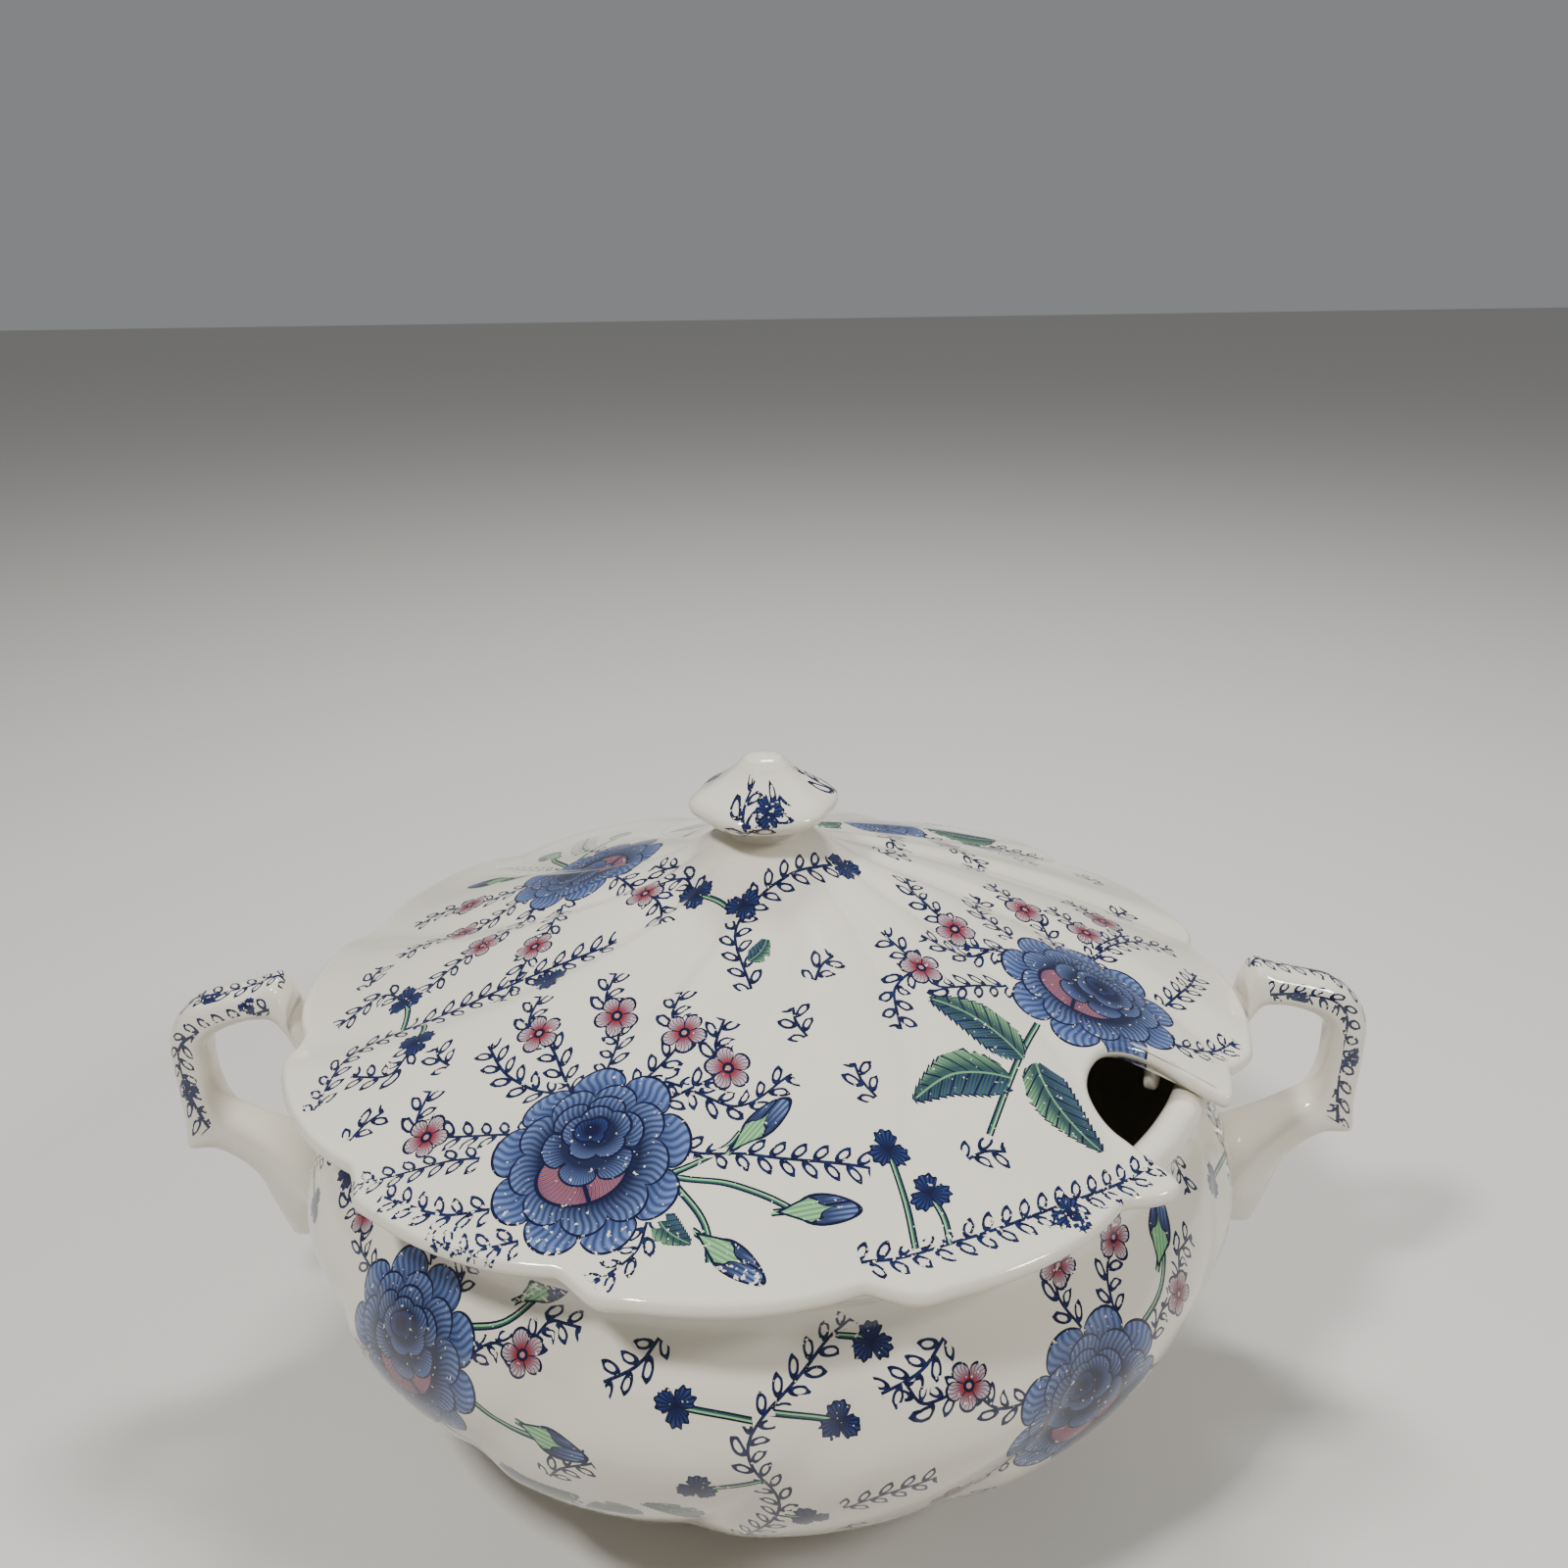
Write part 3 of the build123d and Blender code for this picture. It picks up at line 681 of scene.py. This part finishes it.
def bowl_spray(x, z):
    """A rose on the belly with flowers, buds and leaves reaching round it."""
    h = up_wall(z)
    bowl_print.put(ROSE, x, h, 18)
    for turn, reach in [(150, 35), (92, 33), (60, 36), (20, 33), (-150, 36)]:
        tip = deg(x, h, turn, reach)
        bowl_print.put(FLOWER, *tip, 31 * turn)
        bowl_print.twig(deg(x, h, turn, 19), deg(x, h, turn + 6, 27), tip)
        bowl_print.twig(tip, deg(x, h, turn + 8, reach + 8), deg(x, h, turn + 4, reach + 14))
    for turn, reach in [(38, 42), (-8, 40)]:
        tip = deg(x, h, turn, reach)
        bowl_print.put(BUD, *tip, turn - 90)
        bowl_print.twig(deg(x, h, turn, 20), deg(x, h, turn - 5, 30), tip, leafy=False)
    bowl_print.twig(deg(x, h, -70, 18), deg(x, h, -62, 40), deg(x, h, -52, 58), leafy=False)
    for turn, reach, tilt in [(-42, 42, 12), (-92, 38, 200), (-46, 62, -10), (-76, 54, 215)]:
        bowl_print.put(LEAF, *deg(x, h, turn, reach), tilt)


def bowl_vine(x):
    """A vine that climbs the wall from x degrees, with five bell flowers."""
    path = [(0, 36), (4, 54), (1, 72), (8, 88), (12, 94)]
    bells = [(-6, 80), (-4, 61), (10, 76), (14, 89), (7, 50)]
    bowl_print.vine(*([(x + u, up_wall(z)) for u, z in row] for row in (path, bells)))


for x, z in [(-131, 72), (-55, 62), (15, 58), (90, 72), (155, 60)]:
    bowl_spray(x, z)
for x in (-93, -17, 52, 124, 192):
    bowl_vine(x)
for x, z in [
    (-110, 60), (-104, 86), (-78, 56), (-75, 84), (-30, 90), (-32, 60), (-112, 42), (-82, 38), (-66, 34),
    (-8, 84), (34, 86), (68, 88), (44, 40), (108, 54), (140, 88), (116, 88), (176, 90), (180, 40),
]:
    bowl_print.sprig(x, up_wall(z), 7 * z, 11)
for x, z, turn in [
    (-107, 46, 200), (-100, 50, 150), (-24, 44, 20), (50, 62, 160), (126, 40, 30), (186, 66, 190),
]:
    bowl_print.put(LEAF, x, up_wall(z), turn, 0.6)


def bowl_flat(path):
    """Corners and path in millimetres, unrolled about the middle of the path."""
    path = np.array(path, float)
    middle = path[:, 0].mean()
    turn = np.mod(bowl_angle - middle + 180, 360) - 180
    reach = np.interp(path[:, 1], wall_length, wall_r)
    line = np.stack([np.radians(path[:, 0] - middle) * reach, path[:, 1]], 1)
    return np.radians(turn) * bowl_reach, bowl_up, line


bowl_points = corners(bowl)
bowl_angle = np.degrees(np.arctan2(bowl_points[:, 1], bowl_points[:, 0]))
bowl_reach = np.hypot(bowl_points[:, 0], bowl_points[:, 1])
bowl_up = np.interp(bowl_points[:, 2], wall_z, wall_length)
centres, normals = face_centres(bowl), face_normals(bowl)
outer = (centres[:, 0] * normals[:, 0] + centres[:, 1] * normals[:, 1]) > 0
band = (centres[:, 2] > foot_top + 5) & (centres[:, 2] < rim_top - 11)
put_print(bowl, bowl_print, bowl_flat, outer & band, np.clip((bowl_points[:, 2] - 88) / 12, 0, 1))

# %% [markdown]
# ## Small sprigs on the knob and the handles
# The knob carries a dark flower on a sprig. Each handle has twigs along its crest and down its strap.

# %% Place the small prints
knob_print = Layout()
KNOB_DRUM = 14
for x in (-92, 20, 140):
    knob_print.put(BELL, x + 8, 12.5, 20, 0.75)
    knob_print.twig((x - 22, 4), (x - 6, 9), (x + 24, 15))
    knob_print.twig((x - 10, 8), (x - 16, 14), (x - 12, 18))


def knob_flat(path):
    """Corners and path in millimetres, unrolled on a drum about as wide as the knob."""
    path = np.array(path, float)
    middle = path[:, 0].mean()
    turn = np.mod(knob_angle - middle + 180, 360) - 180
    line = np.stack([np.radians(path[:, 0] - middle) * KNOB_DRUM, path[:, 1]], 1)
    return np.radians(turn) * KNOB_DRUM, knob_up, line


knob_points = corners(knob)
knob_angle = np.degrees(np.arctan2(knob_points[:, 1], knob_points[:, 0]))
knob_up = knob_points[:, 2] - knob_base
put_print(knob, knob_print, knob_flat, face_centres(knob)[:, 2] > knob_base + 5, 0 * knob_up + 0.2)


STRAP_LENGTH = 150.0
STRAP_GIRTH = 46.0


def print_handle(piece, place, side):
    """Twigs on the strap; the flat place runs along it, and round it from the middle of its outer side."""
    fractions = (np.linspace(0, 1, count + 1) for count in (HANDLE_AROUND, HANDLE_ALONG))
    s, t = (grid.ravel() for grid in np.meshgrid(*fractions))
    finder = KDTree(len(s))
    for index, point in enumerate(np.stack(place(s, t), 1)):
        finder.insert(point, index)
    finder.balance()
    nearest = [finder.find(point)[1] for point in corners(piece)]
    along_strap = STRAP_LENGTH * t[nearest]
    round_strap = STRAP_GIRTH * (np.mod(s[nearest] + 0.5, 1) - 0.5)
    small = Layout()
    for start, across in [(28, 0), (32, 12), (34, -12)]:
        small.twig(*((start + far, across + sway) for far, sway in [(0, 0), (18, 2), (36, -2), (56, 1)]))
    for x, y in [(50, 3), (76, 11), (40, 10), (72, -11), (44, -12)]:
        small.put(BELL, x, y, 9 * x, 0.62)
    middle, normal = face_centres(piece), face_normals(piece)
    outward = normal[:, 0] * (middle[:, 0] - side * 138) + normal[:, 2] * (middle[:, 2] - 88)
    printed = (outward > -3) & (middle[:, 2] > 66) & (np.abs(middle[:, 0]) > 124)
    put_print(piece, small, lambda path: (along_strap, round_strap, np.array(path, float)), printed,
              0 * along_strap + 0.3)


print_handle(handle_right, handle_place, 1)
print_handle(handle_left, mirrored_place, -1)

# %% [markdown]
# ## Shader nodes from one function
# Every node below is added by the same function, which sets its options, its constants and its links in
# one call. Colours are written as sRGB hex, as they are picked, and turned into linear light here.

# %% Node and colour helpers
def linear(text):
    """An sRGB hex colour as linear RGBA."""
    parts = [int(text[i:i + 2], 16) / 255 for i in (1, 3, 5)]
    return tuple(c / 12.92 if c <= 0.04045 else ((c + 0.055) / 1.055) ** 2.4 for c in parts) + (1.0,)


def add(tree, kind, inputs=(), **settings):
    """A node of this kind with its settings; inputs maps a socket to a constant or to a linked socket."""
    node = tree.nodes.new("ShaderNode" + kind)
    for key, value in settings.items():
        setattr(node, key, value)
    for key, value in dict(inputs).items():
        if isinstance(value, bpy.types.NodeSocket):
            tree.links.new(value, node.inputs[key])
        else:
            node.inputs[key].default_value = value
    return node


OPERATIONS = {
    ast.Add: "ADD", ast.Sub: "SUBTRACT", ast.Mult: "MULTIPLY", ast.Div: "DIVIDE",
    "sin": "SINE", "cos": "COSINE", "abs": "ABSOLUTE", "min": "MINIMUM", "max": "MAXIMUM",
    "sqrt": "SQRT", "atan2": "ARCTAN2", "over": "GREATER_THAN", "under": "LESS_THAN",
    "mod": "FLOORED_MODULO", "sign": "SIGN",
}


def formula(tree, text, names):
    """Math nodes for a short formula such as "sqrt(x * x + y * y)"; names maps its letters to sockets."""

    def walk(part):
        if isinstance(part, ast.Constant):
            return float(part.value)
        if isinstance(part, ast.Name):
            return names[part.id]
        if isinstance(part, ast.UnaryOp):
            return -walk(part.operand)
        if isinstance(part, ast.BinOp):
            operation, terms = OPERATIONS[type(part.op)], [part.left, part.right]
        elif part.func.id == "sq":
            term = walk(part.args[0])
            return add(tree, "Math", {0: term, 1: term}, operation="MULTIPLY").outputs[0]
        else:
            operation, terms = OPERATIONS[part.func.id], part.args
        values = {i: walk(term) for i, term in enumerate(terms)}
        return add(tree, "Math", values, operation=operation).outputs[0]

    return walk(ast.parse(text).body[0].value)


# %% [markdown]
# ## Engraving the motifs
# A motif is a few named measures and then layers of ink, each with a mask that is 1 where the ink
# lies, a deep colour, a pale colour, and a shade from deep to pale. An engraver makes tones with fine
# strokes, so the shades here are full of thin stripes that follow the petals.

# %% The drawings
NAVY, INDIGO, MID, PALE = "#0B1030", "#15224C", "#2C4078", "#6C82B4"
PINK, ROSE_PALE, GREEN, DARK_GREEN, TEAL = "#6E2E3C", "#B67C78", "#8ABF82", "#2C5A50", "#122C40"
CREAM, FLOWER_RED = "#E9E5DA", "#8C2F36"

TWIG_LETS = {
    "live": "over(t, 0) * under(t, abs(l))",
    "fold": "mod(t + 2.3 * over(v, 0), 4.6) - 1.0",
    "out": "abs(v)",
    "a": "0.70 * out + 0.71 * fold",
    "b": "0.70 * fold - 0.71 * out",
    "e": "sq((a - 2.9) / 2.15) + sq(b / 0.98)",
    "inked": "over(n, 0.30 + 0.20 * worn)",
    "line": "live * inked",
}
TWIG_LAYERS = [
    ("line * over(l, 0) * under(e, 1.3) * over(e, 0.34)", NAVY, INDIGO, "over(n, 0.52)"),
    ("line * over(l, 0) * under(abs(b), 0.16) * over(a, 0) * under(a, 1.3)", NAVY, INDIGO, "over(n, 0.52)"),
    ("line * over(l, 0) * under(out, 0.36)", NAVY, INDIGO, "over(n, 0.52)"),
    ("line * under(l, 0) * under(out, 0.80)", NAVY, DARK_GREEN, "under(out, 0.36)"),
    ("line * under(l, 0) * over(v, 0) * under(out, 0.36)", GREEN, GREEN, "0 * v"),
]
MOTIFS = {
    ROSE: (
        {
            "r": "sqrt(x * x + y * y)", "g": "atan2(y, x)",
            "hair": "sin(g * 64 + 2.5 * sin(r * 0.8 + g)) * 0.5 + 0.5",
            "lobe": "abs(sin(4.5 * g + 0.5))", "rim": "17.0 + 4.8 * sqrt(lobe)",
            "lobe1": "abs(sin(4.5 * g + 1.9))", "rim1": "13.9 + 3.4 * sqrt(lobe1)",
            "y2": "y - 3.6", "r2": "sqrt(x * x * 0.92 + y2 * y2)", "g2": "atan2(y2, x)",
            "lobe2": "abs(sin(3 * g2 + 0.7))", "rim2": "8.2 + 2.6 * sqrt(lobe2)",
            "y3": "y - 5.2", "x3": "x - 0.6", "r3": "sqrt(x3 * x3 * 0.7 + y3 * y3)", "g3": "atan2(y3, x3)",
            "rim3": "5.2 + 1.5 * sqrt(abs(sin(2.5 * g3 + 0.4)))",
            "x4": "x + 0.6", "r4": "sqrt(x4 * x4 * 0.75 + sq(y - 5.9))",
            "rim4": "2.7 + 0.9 * abs(sin(1.5 * g3))",
            "cup": "sq((x + 0.8) / 9.8) + sq((y + 3.6 - 0.12 * x) / 7.4)",
            "fold2": "abs(sin((x + 0.5 * y) * 0.30 + 0.95))",
        },
        [
            ("under(r, rim)", INDIGO, PALE, "min(0.9, max(0.05, (r - 13.0) / 8)) * (0.25 + 0.75 * hair)"),
            ("under(r, rim) * under(lobe, 0.13) * over(r, 12)", NAVY, NAVY, "0 * r"),
            ("under(r, rim + 0.1) * over(r, rim - 0.55)", NAVY, NAVY, "0 * r"),
            ("under(r, rim1)", NAVY, PALE, "min(0.8, max(0.04, (r - 10.5) / 7)) * (0.25 + 0.75 * hair)"),
            ("under(r, rim1) * over(r, rim1 - 0.5)", NAVY, NAVY, "0 * r"),
            ("under(cup, 1)", PINK, ROSE_PALE,
             "(0.15 + 0.85 * hair) * min(0.9, max(0.05, 0.2 + fold2 * 0.9))"),
            ("under(cup, 1) * over(hair, 0.8)", INDIGO, MID, "cup"),
            ("under(cup, 1) * under(fold2, 0.16)", NAVY, NAVY, "0 * r"),
            ("under(cup, 1.04) * over(cup, 0.88)", NAVY, NAVY, "0 * r"),
            ("under(r2, rim2)", NAVY, PALE, "min(0.85, max(0.06, (r2 - 6) / 6)) * (0.25 + 0.75 * hair)"),
            ("under(r2, rim2) * under(lobe2, 0.15) * over(r2, 7)", NAVY, NAVY, "0 * r"),
            ("under(r2, rim2) * over(r2, rim2 - 0.5)", NAVY, NAVY, "0 * r"),
            ("under(r3, rim3)", NAVY, PALE, "min(0.75, max(0.04, (r3 - 3.2) / 4.5)) * (0.25 + 0.75 * hair)"),
            ("under(r3, rim3) * over(r3, rim3 - 0.5)", NAVY, NAVY, "0 * r"),
            ("under(r4, rim4)", NAVY, MID, "min(0.9, max(0, (r4 - 1.2) / 2.4)) * (0.3 + 0.7 * hair)"),
            ("under(r4, rim4 + 0.1) * over(r4, rim4 - 0.45)", NAVY, NAVY, "0 * r"),
        ],
    ),
    LEAF: (
        {
            "h": "6.4 * sqrt(max(0, 1 - sq(x / 12.2))) * (1 - 0.035 * x)",
            "edge": "h - 0.8 * mod(x * 0.62, 1)",
            "out": "abs(y - 0.02 * x * x + 1.2)",
            "up": "over(y - 0.02 * x * x + 1.2, 0)",
            "body": "under(out, edge)",
            "vein": "under(mod(x * 0.30 - out * 0.26 + 9, 1), 0.15)",
            "hatch": "sin(x * 7 - out * 5) * 0.5 + 0.5",
            "pale": "min(1, max(0, (out - 1.6) / (h + 0.2) * 1.5))",
        },
        [
            ("body", TEAL, GREEN, "pale * (0.25 + 0.60 * hatch) * (0.95 - 0.75 * up) + 0.08"),
            ("body * up * over(hatch, 0.72)", INDIGO, MID, "pale"),
            ("body * vein", NAVY, TEAL, "0 * h"),
            ("body * under(out, 0.26) * under(x, 11)", DARK_GREEN, GREEN, "0.5 + 0 * h"),
            ("under(out, edge + 0.15) * over(out, edge - 0.42) * over(h, 0.2)", NAVY, NAVY, "0 * h"),
        ],
    ),
    FLOWER: (
        {
            "r": "sqrt(x * x + y * y)", "g": "atan2(y, x)",
            "lobe": "abs(cos(2.5 * g))", "rim": "2.5 + 2.8 * sqrt(lobe)",
            "hair": "sin(g * 30 + sin(r * 3)) * 0.5 + 0.5",
        },
        [
            ("under(r, rim)", FLOWER_RED, CREAM, "min(1, max(0, (r - 1.8) / 2.8)) * (0.35 + 0.65 * hair)"),
            ("under(r, rim) * over(r, 2.0) * over(hair, 0.78)", INDIGO, MID, "min(1, r / 5)"),
            ("under(r, rim) * under(lobe, 0.20)", NAVY, NAVY, "0 * r"),
            ("under(r, rim + 0.15) * over(r, rim - 0.46)", NAVY, NAVY, "0 * r"),
            ("under(r, 1.35)", NAVY, ROSE_PALE, "under(r, 0.6)"),
        ],
    ),
    BUD: (
        {
            "hull": "sq(x / (3.5 - 0.13 * y)) + sq((y - 2.2) / 6.6)",
            "hair": "sin(x * 6 + y * 0.8) * 0.5 + 0.5",
            "petal": "abs(sin(x * 0.8 + 0.12 * y + 0.5))",
            "out": "abs(x)",
            "sepal": "2.9 - 0.42 * abs(y + 1.8) - 0.9 * over(y, -0.5) * abs(sin(x * 1.4 + 0.6)) * (y + 0.5)",
        },
        [
            ("under(out, 0.80) * under(y, -3) * over(y, -9.8)", NAVY, GREEN, "under(out, 0.36)"),
            ("under(hull, 1)", NAVY, PALE, "max(0.05, min(0.8, 0.15 * (y - 1))) * hair + 0.12"),
            ("under(hull, 1) * under(petal, 0.20)", NAVY, NAVY, "0 * out"),
            ("under(hull, 1.08) * over(hull, 0.78)", NAVY, NAVY, "0 * out"),
            ("under(out, sepal)", DARK_GREEN, GREEN, "0.35 + 0.65 * hair"),
            ("under(out, sepal + 0.1) * over(out, sepal - 0.42)", NAVY, NAVY, "0 * out"),
        ],
    ),
    BELL: (
        {
            "r": "sqrt(x * x + y * y)", "g": "atan2(y, x)",
            "lobe": "abs(cos(1.5 * g))", "rim": "1.6 + 2.9 * sqrt(lobe) + 0.3 * sin(15 * g)",
            "hair": "sin(g * 22) * 0.5 + 0.5",
        },
        [
            ("under(r, rim)", NAVY, MID, "0.8 * hair * min(1, r * 0.28)"),
            ("under(r, rim) * under(lobe, 0.2)", NAVY, NAVY, "0 * r"),
            ("under(r, rim + 0.1) * over(r, rim - 0.42)", NAVY, NAVY, "0 * r"),
        ],
    ),
}


# %% Inking one motif
def ink(tree, colour, names, lets, layers, inked):
    """Lay each layer of ink over the colour beneath it."""
    for name, text in lets.items():
        names[name] = formula(tree, text, names)
    for mask, deep, pale, shade in layers:
        text = f"({mask}) * {inked}" if inked != "1" else mask
        tone = add(tree, "Mix", {0: formula(tree, shade, names), 6: linear(deep), 7: linear(pale)},
                   data_type="RGBA").outputs[2]
        colour = add(tree, "Mix", {0: formula(tree, text, names), 6: colour, 7: tone},
                     data_type="RGBA").outputs[2]
    return colour


# %% [markdown]
# ## Glaze over print
# The body is off-white earthenware under a clear lead-bright glaze. The glaze pools a little, so the
# reflection wavers softly, and the cream is very slightly uneven.

# %% One glazed material for each kind of face
def glaze_material(kind, body="#E1DBC9"):
    """Cream glaze over the ink of one kind of motif; the twigs lie beneath every motif."""
    made = bpy.data.materials.new("glaze_over_" + KIND_NAMES[kind] + "_print" if kind else "clear_glaze")
    made.use_nodes = True
    tree = made.node_tree
    tree.nodes.clear()
    place = add(tree, "TexCoord").outputs["Object"]
    # Clouds 40 mm across: the faint unevenness of the cream.
    cloud = add(tree, "TexNoise", {"Vector": place, "Scale": 25.0, "Detail": 2.0}).outputs["Fac"]
    colour = add(tree, "Mix", {0: cloud, 6: linear(body), 7: linear("#DAD4C4")}, data_type="RGBA").outputs[2]
    if kind != PLAIN:
        # Specks about 1 mm across: where the tissue missed the biscuit.
        speck = add(tree, "TexNoise", {"Vector": place, "Scale": 900.0, "Detail": 2.0}).outputs["Fac"]
        spot = add(tree, "SeparateXYZ", {0: add(tree, "Attribute", attribute_name="motif").outputs["Vector"]})
        line = add(tree, "SeparateXYZ", {0: add(tree, "Attribute", attribute_name="twig").outputs["Vector"]})
        names = {"x": spot.outputs[0], "y": spot.outputs[1], "worn": spot.outputs[2], "n": speck,
                 "t": line.outputs[0], "v": line.outputs[1], "l": line.outputs[2]}
        colour = ink(tree, colour, names, TWIG_LETS, TWIG_LAYERS, "1")
        if kind in MOTIFS:
            colour = ink(tree, colour, names, *MOTIFS[kind], "inked")
    finish = add(tree, "BsdfPrincipled", {
        "Base Color": colour, "Roughness": 0.09, "IOR": 1.52, "Coat Weight": 0.35, "Coat Roughness": 0.03,
    })
    # Ripples 60 mm long and very shallow: the uneven skin of the fired glaze.
    ripple = add(tree, "TexNoise", {"Vector": place, "Scale": 16.0, "Detail": 1.0}).outputs["Fac"]
    bump = add(tree, "Bump", {"Height": ripple, "Strength": 0.10, "Distance": 0.002})
    tree.links.new(bump.outputs[0], finish.inputs["Normal"])
    add(tree, "OutputMaterial", {"Surface": finish.outputs[0]})
    return made


glazes = [glaze_material(kind) for kind in range(len(KIND_NAMES))]
for piece in (bowl, lid, knob, handle_right, handle_left):
    for glaze in glazes:
        piece.data.materials.append(glaze)
for piece in (flange, bpy.data.objects["foot_ring"]):
    piece.data.materials.clear()
    piece.data.materials.append(glazes[PLAIN])
print("materials:", [glaze.name for glaze in glazes], "nodes:", [len(g.node_tree.nodes) for g in glazes])

# %% [markdown]
# ## Riding on the bodies
# The bowl body carries the bowl and both handles. The lid body carries the lid, its flange and the knob,
# and lifts straight up. A skin made here stands for its CAD node.

# %% Put each piece on its body
for piece, body, node, finish in [
    (bowl, "bowl", "bowl", "bowl_glaze"),
    (handle_right, "bowl", "handle_right", "handle_glaze"),
    (handle_left, "bowl", "handle_left", "handle_glaze"),
    (lid, "lid", "lid", "lid_glaze"),
    (knob, "lid", "knob", "knob_glaze"),
    (flange, "lid", "lid_flange", "flange_glaze"),
]:
    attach(piece, body)
    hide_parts(node)
skins = (bowl, handle_right, handle_left, lid, knob, flange)
print("standing for CAD nodes:", [piece.name for piece in skins])

# %% [markdown]
# ## A plain studio
# A flat, pale matt floor, soft light from a pale room, and three small soft boxes.
# They are small so that the glaze shows compact highlights on the belly, the knob and the lid's lip.

# %% Floor and light
bpy.ops.object.select_all(action="DESELECT")
bpy.ops.mesh.primitive_plane_add(size=6)
floor = bpy.context.object
floor.name = "floor"
paper = bpy.data.materials.new("matt_pale_card")
paper.use_nodes = True
paper.node_tree.nodes.clear()
matt = add(paper.node_tree, "BsdfPrincipled", {"Base Color": linear("#CFCCC6"), "Roughness": 0.75})
add(paper.node_tree, "OutputMaterial", {"Surface": matt.outputs[0]})
floor.data.materials.append(paper)


AIM = Vector((0, 0, 0.08))


def soft_box(name, place, size, power):
    """A rectangular light that faces the tureen."""
    light = bpy.data.lights.new(name, "AREA")
    light.shape = "RECTANGLE"
    light.size, light.size_y = size
    light.energy = power
    lamp = bpy.data.objects.new(name, light)
    bpy.context.collection.objects.link(lamp)
    lamp.location = place
    lamp.rotation_mode = "QUATERNION"
    lamp.rotation_quaternion = (Vector(place) - AIM).to_track_quat("Z", "Y")


soft_box("key_box", (-0.38, -0.42, 0.92), (0.12, 0.12), 8.0)
soft_box("side_box", (0.72, -0.40, 0.70), (0.16, 0.16), 4.5)
soft_box("back_box", (0.10, 0.50, 0.95), (0.30, 0.20), 7.5)
room = bpy.data.worlds.new("pale_room")
room.use_nodes = True
room.node_tree.nodes["Background"].inputs["Color"].default_value = linear("#E4E6EA")
room.node_tree.nodes["Background"].inputs["Strength"].default_value = 0.30
bpy.context.scene.world = room
print("lights:", [light.name for light in bpy.data.lights])

# %% [markdown]
# ## The camera
# It looks down on the tureen by about 22 degrees from half an arm's length in front of it. That is
# close, so the lid looks wide and the belly tucks away below it.

# %% Camera
camera_data = bpy.data.cameras.new("camera")
camera_data.lens = 35.93
camera_data.sensor_width = 36.0
camera_data.clip_start = 0.01
camera_data.dof.use_dof = False
camera = bpy.data.objects.new("camera", camera_data)
bpy.context.collection.objects.link(camera)
tilt = Matrix.Rotation(math.radians(90 - 21.89), 3, "X")
roll = Matrix.Rotation(math.radians(-0.85), 3, "Z")
camera.rotation_mode = "QUATERNION"
camera.rotation_quaternion = (tilt @ roll).to_quaternion()
camera.location = (0.0052, -0.3652, 0.3148)
bpy.context.scene.camera = camera
